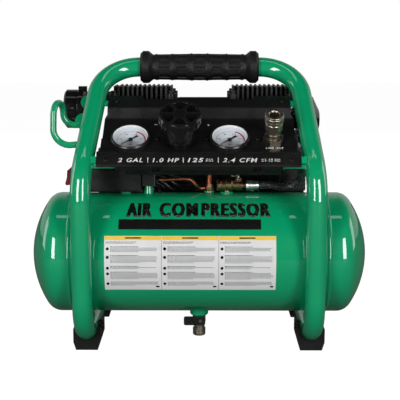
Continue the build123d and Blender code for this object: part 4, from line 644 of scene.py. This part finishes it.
def on_dials(u, v, h):
    """Point above the dials' faces, in the panel's main directions."""
    return on_row(u, v, DIAL_TOP + h)


def dial_printing(looks):
    """Scale, numbers and red sector on each dial."""
    black, red = bmesh.new(), bmesh.new()
    for x in GAUGES_X:
        for k in range(TICKS + 1):
            turn = radians(ZERO_TURN - SWEEP * k / TICKS)
            long = k % LONG_EVERY == 0
            start = LONG_TICK if long else MEDIUM_TICK if k % MEDIUM_EVERY == 0 else SHORT_TICK
            half = LONG_HALF if long else SHORT_HALF
            bar(black, (start, -half), (TICK_END, half), turn, (x, 0))
            if k % BAR_EVERY == 0:
                bar(red, (BAR_TICK[0], -BAR_HALF), (BAR_TICK[1], BAR_HALF), turn, (x, 0))
        arc_band(black, (x, 0), *SCALE_LINE, ZERO_TURN, ZERO_TURN - SWEEP, SCALE_STEPS)
        arc_band(red, (x, 0), *RED_ARC, RED_FROM, RED_TO)
        for k in range(NUMBERS + 1):
            turn = radians(ZERO_TURN - SWEEP * k / NUMBERS)
            words(str(k * FULL_SCALE // NUMBERS), None, NUMBER_CAPS,
                  (x + NUMBER_R * cos(turn), NUMBER_R * sin(turn)), NUMBER_BOLD, into=black)
            if k < NUMBERS:
                inner = turn - radians(SWEEP / (2 * NUMBERS))
                words(str(k * BAR_STEP + BAR_FIRST), None, BAR_NUMBER_CAPS,
                      (x + BAR_NUMBER_R * cos(inner), BAR_NUMBER_R * sin(inner)), NUMBER_BOLD, into=red)
        words("psi", None, PSI_CAPS, (x, -PSI_DROP), NUMBER_BOLD, into=black)
        words("bar", None, BAR_CAPS, (x, -BAR_DROP), NUMBER_BOLD, into=red)
    print_on("dial_scales", black, on_dials, looks["ink_black"], DIAL_LIFT, INK, 1)
    print_on("dial_red_sectors", red, on_dials, looks["ink_red"], DIAL_LIFT, INK, 1)


# ---- printing on the panel ----
STRIP_Y, STRIP_Z, STRIP_SLOPE, TEXT_DROP, CAPS = -0.12705, 0.25073, 59.08, 0.0010, 0.0056
STRIP_WORDS = (("2 GAL", -0.0982, -0.0678), ("1.0 HP", -0.0561, -0.0238), ("125", -0.0133, 0.0061),
               ("2.4 CFM", 0.0295, 0.0716))
STRIP_DIVIDERS = (-0.0619, -0.0187, 0.0239)
STRIP_NOTES = ((0.0091, 0.0176, "MAX", "PSI"), (0.0761, 0.0989, "AT 40 PSI", "AT 90 PSI"))
LETTER_BOLD, LETTER_LEAN, PANEL_LIFT = 0.022, 0.22, 0.00003
RULE_HALF, RULE_REACH, NOTE_CAPS, NOTE_RISE = 0.0004, 0.62, 0.0015, 0.0012
FACE_CAPS, OUTLET_WIDE, OUTLET_AT, PLUS_AT = 0.0034, 0.0225, (0.0933, -0.0132), (0.0118, 0.033)
MINUS_LOW, MINUS_HIGH = (-0.0558, 0.0332), (-0.0522, 0.0340)


def on_strip(u, v, h):
    """Point on the panel's front strip: u along X, v up the strip, h out from it."""
    turn = radians(STRIP_SLOPE)
    return Vector((u, STRIP_Y + v * cos(turn) - h * sin(turn), STRIP_Z + v * sin(turn) + h * cos(turn)))


def panel_printing(looks):
    """White figures along the strip, and the few marks on the main face."""
    strip = bmesh.new()
    for text, left, right in STRIP_WORDS:
        words(text, right - left, CAPS, ((left + right) / 2, -TEXT_DROP), LETTER_BOLD, LETTER_LEAN, strip)
    for x in STRIP_DIVIDERS:
        bar(strip, (x - RULE_HALF, -TEXT_DROP - CAPS * RULE_REACH),
            (x + RULE_HALF, -TEXT_DROP + CAPS * RULE_REACH))
    for left, right, upper, lower in STRIP_NOTES:
        for text, rise in ((upper, NOTE_RISE), (lower, -NOTE_RISE)):
            words(text, right - left, NOTE_CAPS, ((left + right) / 2, rise - TEXT_DROP), LETTER_BOLD, 0,
                  strip)
    print_on("strip_printing", strip, on_strip, looks["ink_white"], PANEL_LIFT, INK)

    face = bmesh.new()
    words("LINE OUT", OUTLET_WIDE, FACE_CAPS, OUTLET_AT, LETTER_BOLD, LETTER_LEAN, face)
    words("+", None, FACE_CAPS, PLUS_AT, LETTER_BOLD, 0, face)
    bar(face, MINUS_LOW, MINUS_HIGH)
    print_on("face_printing", face, on_row, looks["ink_white"], PANEL_LIFT, INK)


# ---- grip ----
GRIP_ROWS, GRIP_PITCH, GRIP_STEP, GRIP_SIDES = 10, 0.0231, 0.0006, 240
MIDDLE_R, NECK_R, SLEEVE_BORE = 0.0172, 0.0162, 0.0127
CHAMFER_IN, CHAMFER_ALONG, COLLAR_LONG = 0.0032, 0.0036, 0.0108
NECK_RISE, SLOPE_END, NECK_START, PATTERN_GAP = 0.0006, 0.0162, 0.0175, 0.0185
SKIN_RISE, POCKET_DEPTH, RIB_HIGH, GROOVE_DEEP, LEAN = 0.0004, 0.0019, 0.0006, 0.0003, 0.05
# Where each feature starts and ends, as parts of a pitch along the grip or of a row round it
RIB_ALONG, POCKET_ALONG, POCKET_ROUND, GROOVE_ROUND = (0.36, 0.42), (0.26, 0.285), (0.27, 0.31), (0.42, 0.47)
RIB_MEAN, RIB_SWING = 0.6, 0.4


def grip(looks):
    """Rubber sleeve with a chamfered collar at each end and staggered finger pockets."""
    low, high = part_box("grip_sleeve")
    middle, half = (low + high) / 2, (high.x - low.x) / 2
    collar = (high.z - low.z) / 2
    end = [(SLEEVE_BORE, half), (collar - CHAMFER_IN, half), (collar, half - CHAMFER_ALONG),
           (collar, half - COLLAR_LONG), (NECK_R + NECK_RISE, half - SLOPE_END), (NECK_R, half - NECK_START)]
    stations = dense([(r, -x) for r, x in end] + [(MIDDLE_R, 0)] + end[::-1], GRIP_STEP)
    stations.append((SLEEVE_BORE, -half))

    def pockets(x, turn):
        if abs(x) > half - PATTERN_GAP:
            return 0.0
        row = turn / (2 * pi) * GRIP_ROWS
        across, step = x / GRIP_PITCH, round(x / GRIP_PITCH)
        around = row - round(row)
        lean = LEAN * (-1) ** (round(row) + step)
        off = abs(across - step) + lean * around * 2
        rib = RIB_HIGH * smooth(*RIB_ALONG, off) * (RIB_MEAN + RIB_SWING * (-1) ** step)
        pocket = (1 - smooth(*POCKET_ALONG, off)) * (1 - smooth(*POCKET_ROUND, abs(around)))
        groove = GROOVE_DEEP * smooth(*GROOVE_ROUND, abs(around))
        return SKIN_RISE + rib - POCKET_DEPTH * pocket - groove

    turned("grip", middle, (1, 0, 0), stations, looks["rubber"], "root", GRIP_SIDES, pockets,
           "grip_sleeve")


# ---- pieces between the tank and the panel ----
COPPER_R, UNLOADER_R, CABLE_R = 0.0031, 0.0024, 0.0026
DOWN_ROUTE = ((0.041, 0.015, 0.3098), (0.033, 0.015, 0.3098), (0.029, 0.010, 0.3098),
              (0.029, -0.030, 0.3098), (0.029, -0.0375, 0.303), (0.029, -0.038, 0.250),
              (0.028, -0.038, 0.238), (0.0205, -0.037, 0.229), (0.0145, -0.0362, 0.220),
              (0.013, -0.036, 0.211), (0.013, -0.036, 0.2055))
UNLOADER_ROUTE = ((-0.0523, TANK_Y, 0.213), (-0.034, TANK_Y, 0.2136), (-0.0175, TANK_Y, 0.2143),
                  (-0.0105, TANK_Y + 0.001, 0.2120), (-0.0045, TANK_Y + 0.004, 0.2055),
                  (-0.0005, TANK_Y + 0.008, 0.2012), (0.007, -0.036, 0.2002))
LEADS = (((-0.060, -0.030, 0.213), (-0.047, -0.026, 0.206), (-0.036, -0.020, 0.197), (-0.030, 0.010, 0.203)),
         ((-0.060, -0.028, 0.208), (-0.051, -0.024, 0.203), (-0.044, -0.018, 0.197), (-0.038, 0.010, 0.203)),
         ((-0.060, -0.026, 0.217), (-0.042, -0.024, 0.211), (-0.028, -0.018, 0.201), (-0.021, 0.010, 0.204)),
         ((-0.060, -0.031, 0.221), (-0.036, -0.026, 0.216), (-0.018, -0.014, 0.206), (-0.012, 0.010, 0.206)))
# Spans in X of the dark sheets below the fan guards, which stand in for the shade there
SHADE_SHEETS = ((-0.146, -0.101), (0.080, 0.1415))
SHADE_SHEET_Y, SHADE_SHEET_Z = (0.004, 0.062), (0.1860, 0.1945)


def swept(name, route, radius, material, body, sides=20, steps=10, replaced=None):
    """Round rod along a smooth curve through the route's points, closed at both ends."""
    knots = [Vector(p) for p in route]
    knots = [knots[0] * 2 - knots[1], *knots, knots[-1] * 2 - knots[-2]]
    line = []
    for a, b, c, d in zip(knots, knots[1:], knots[2:], knots[3:]):
        for k in range(steps):
            t = k / steps
            line.append((b * 2 + (c - a) * t + (a * 2 - b * 5 + c * 4 - d) * t ** 2
                         + (b * 3 - a - c * 3 + d) * t ** 3) / 2)
    line.append(knots[-2])
    points, across = [], (line[1] - line[0]).orthogonal().normalized()
    for k, centre in enumerate(line):
        along = (line[min(k + 1, len(line) - 1)] - line[max(k - 1, 0)]).normalized()
        across = (across - along * across.dot(along)).normalized()
        other = along.cross(across)
        points += [centre + (across * cos(2 * pi * j / sides) + other * sin(2 * pi * j / sides)) * radius
                   for j in range(sides)]
    faces = grid_faces(len(line), sides)
    faces += [tuple(reversed(range(sides))), tuple(range(len(points) - sides, len(points)))]
    piece = mesh_piece(name, points, faces, material, body, True)
    if replaced:
        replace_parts(piece, replaced)
    return piece


def block(name, low, high, material, slot):
    """Closed box between two corners."""
    points = [(x, y, z) for x in (low[0], high[0]) for y in (low[1], high[1]) for z in (low[2], high[2])]
    faces = [(0, 1, 3, 2), (4, 6, 7, 5), (0, 4, 5, 1), (2, 3, 7, 6), (0, 2, 6, 4), (1, 5, 7, 3)]
    return mesh_piece(name, points, faces, material, "root")


def under_panel(looks):
    """Copper tubes with their soft bends, the motor's leads, and dark sheets below the fan guards that stand
    in for the shade there.
    """
    swept("discharge_tube_bent", DOWN_ROUTE, COPPER_R, looks["copper"], "root",
          replaced="discharge_tube")
    swept("unloader_tube_bent", UNLOADER_ROUTE, UNLOADER_R, looks["copper"], "root",
          replaced="unloader_tube")
    for number, route in enumerate(LEADS):
        swept(f"motor_lead_{number}", route, CABLE_R, looks["moulded"], "root")
    # Dark sheets that stand in for the shade below the fan guards
    for number, (left, right) in enumerate(SHADE_SHEETS):
        block(f"guard_shade_sheet_{number}", (left, SHADE_SHEET_Y[0], SHADE_SHEET_Z[0]), (right, SHADE_SHEET_Y[1], SHADE_SHEET_Z[1]),
              looks["sheet"], "black_sheet")


# ---- make it ----
looks = finishes()
studio()
for look, names in NODE_FINISH.items():
    for name in names:
        data = nodes[name].data
        data.materials.clear()
        data.materials.append(looks[look])
tank_printing(looks)
gauges(looks)
dial_printing(looks)
panel_printing(looks)
grip(looks)
under_panel(looks)
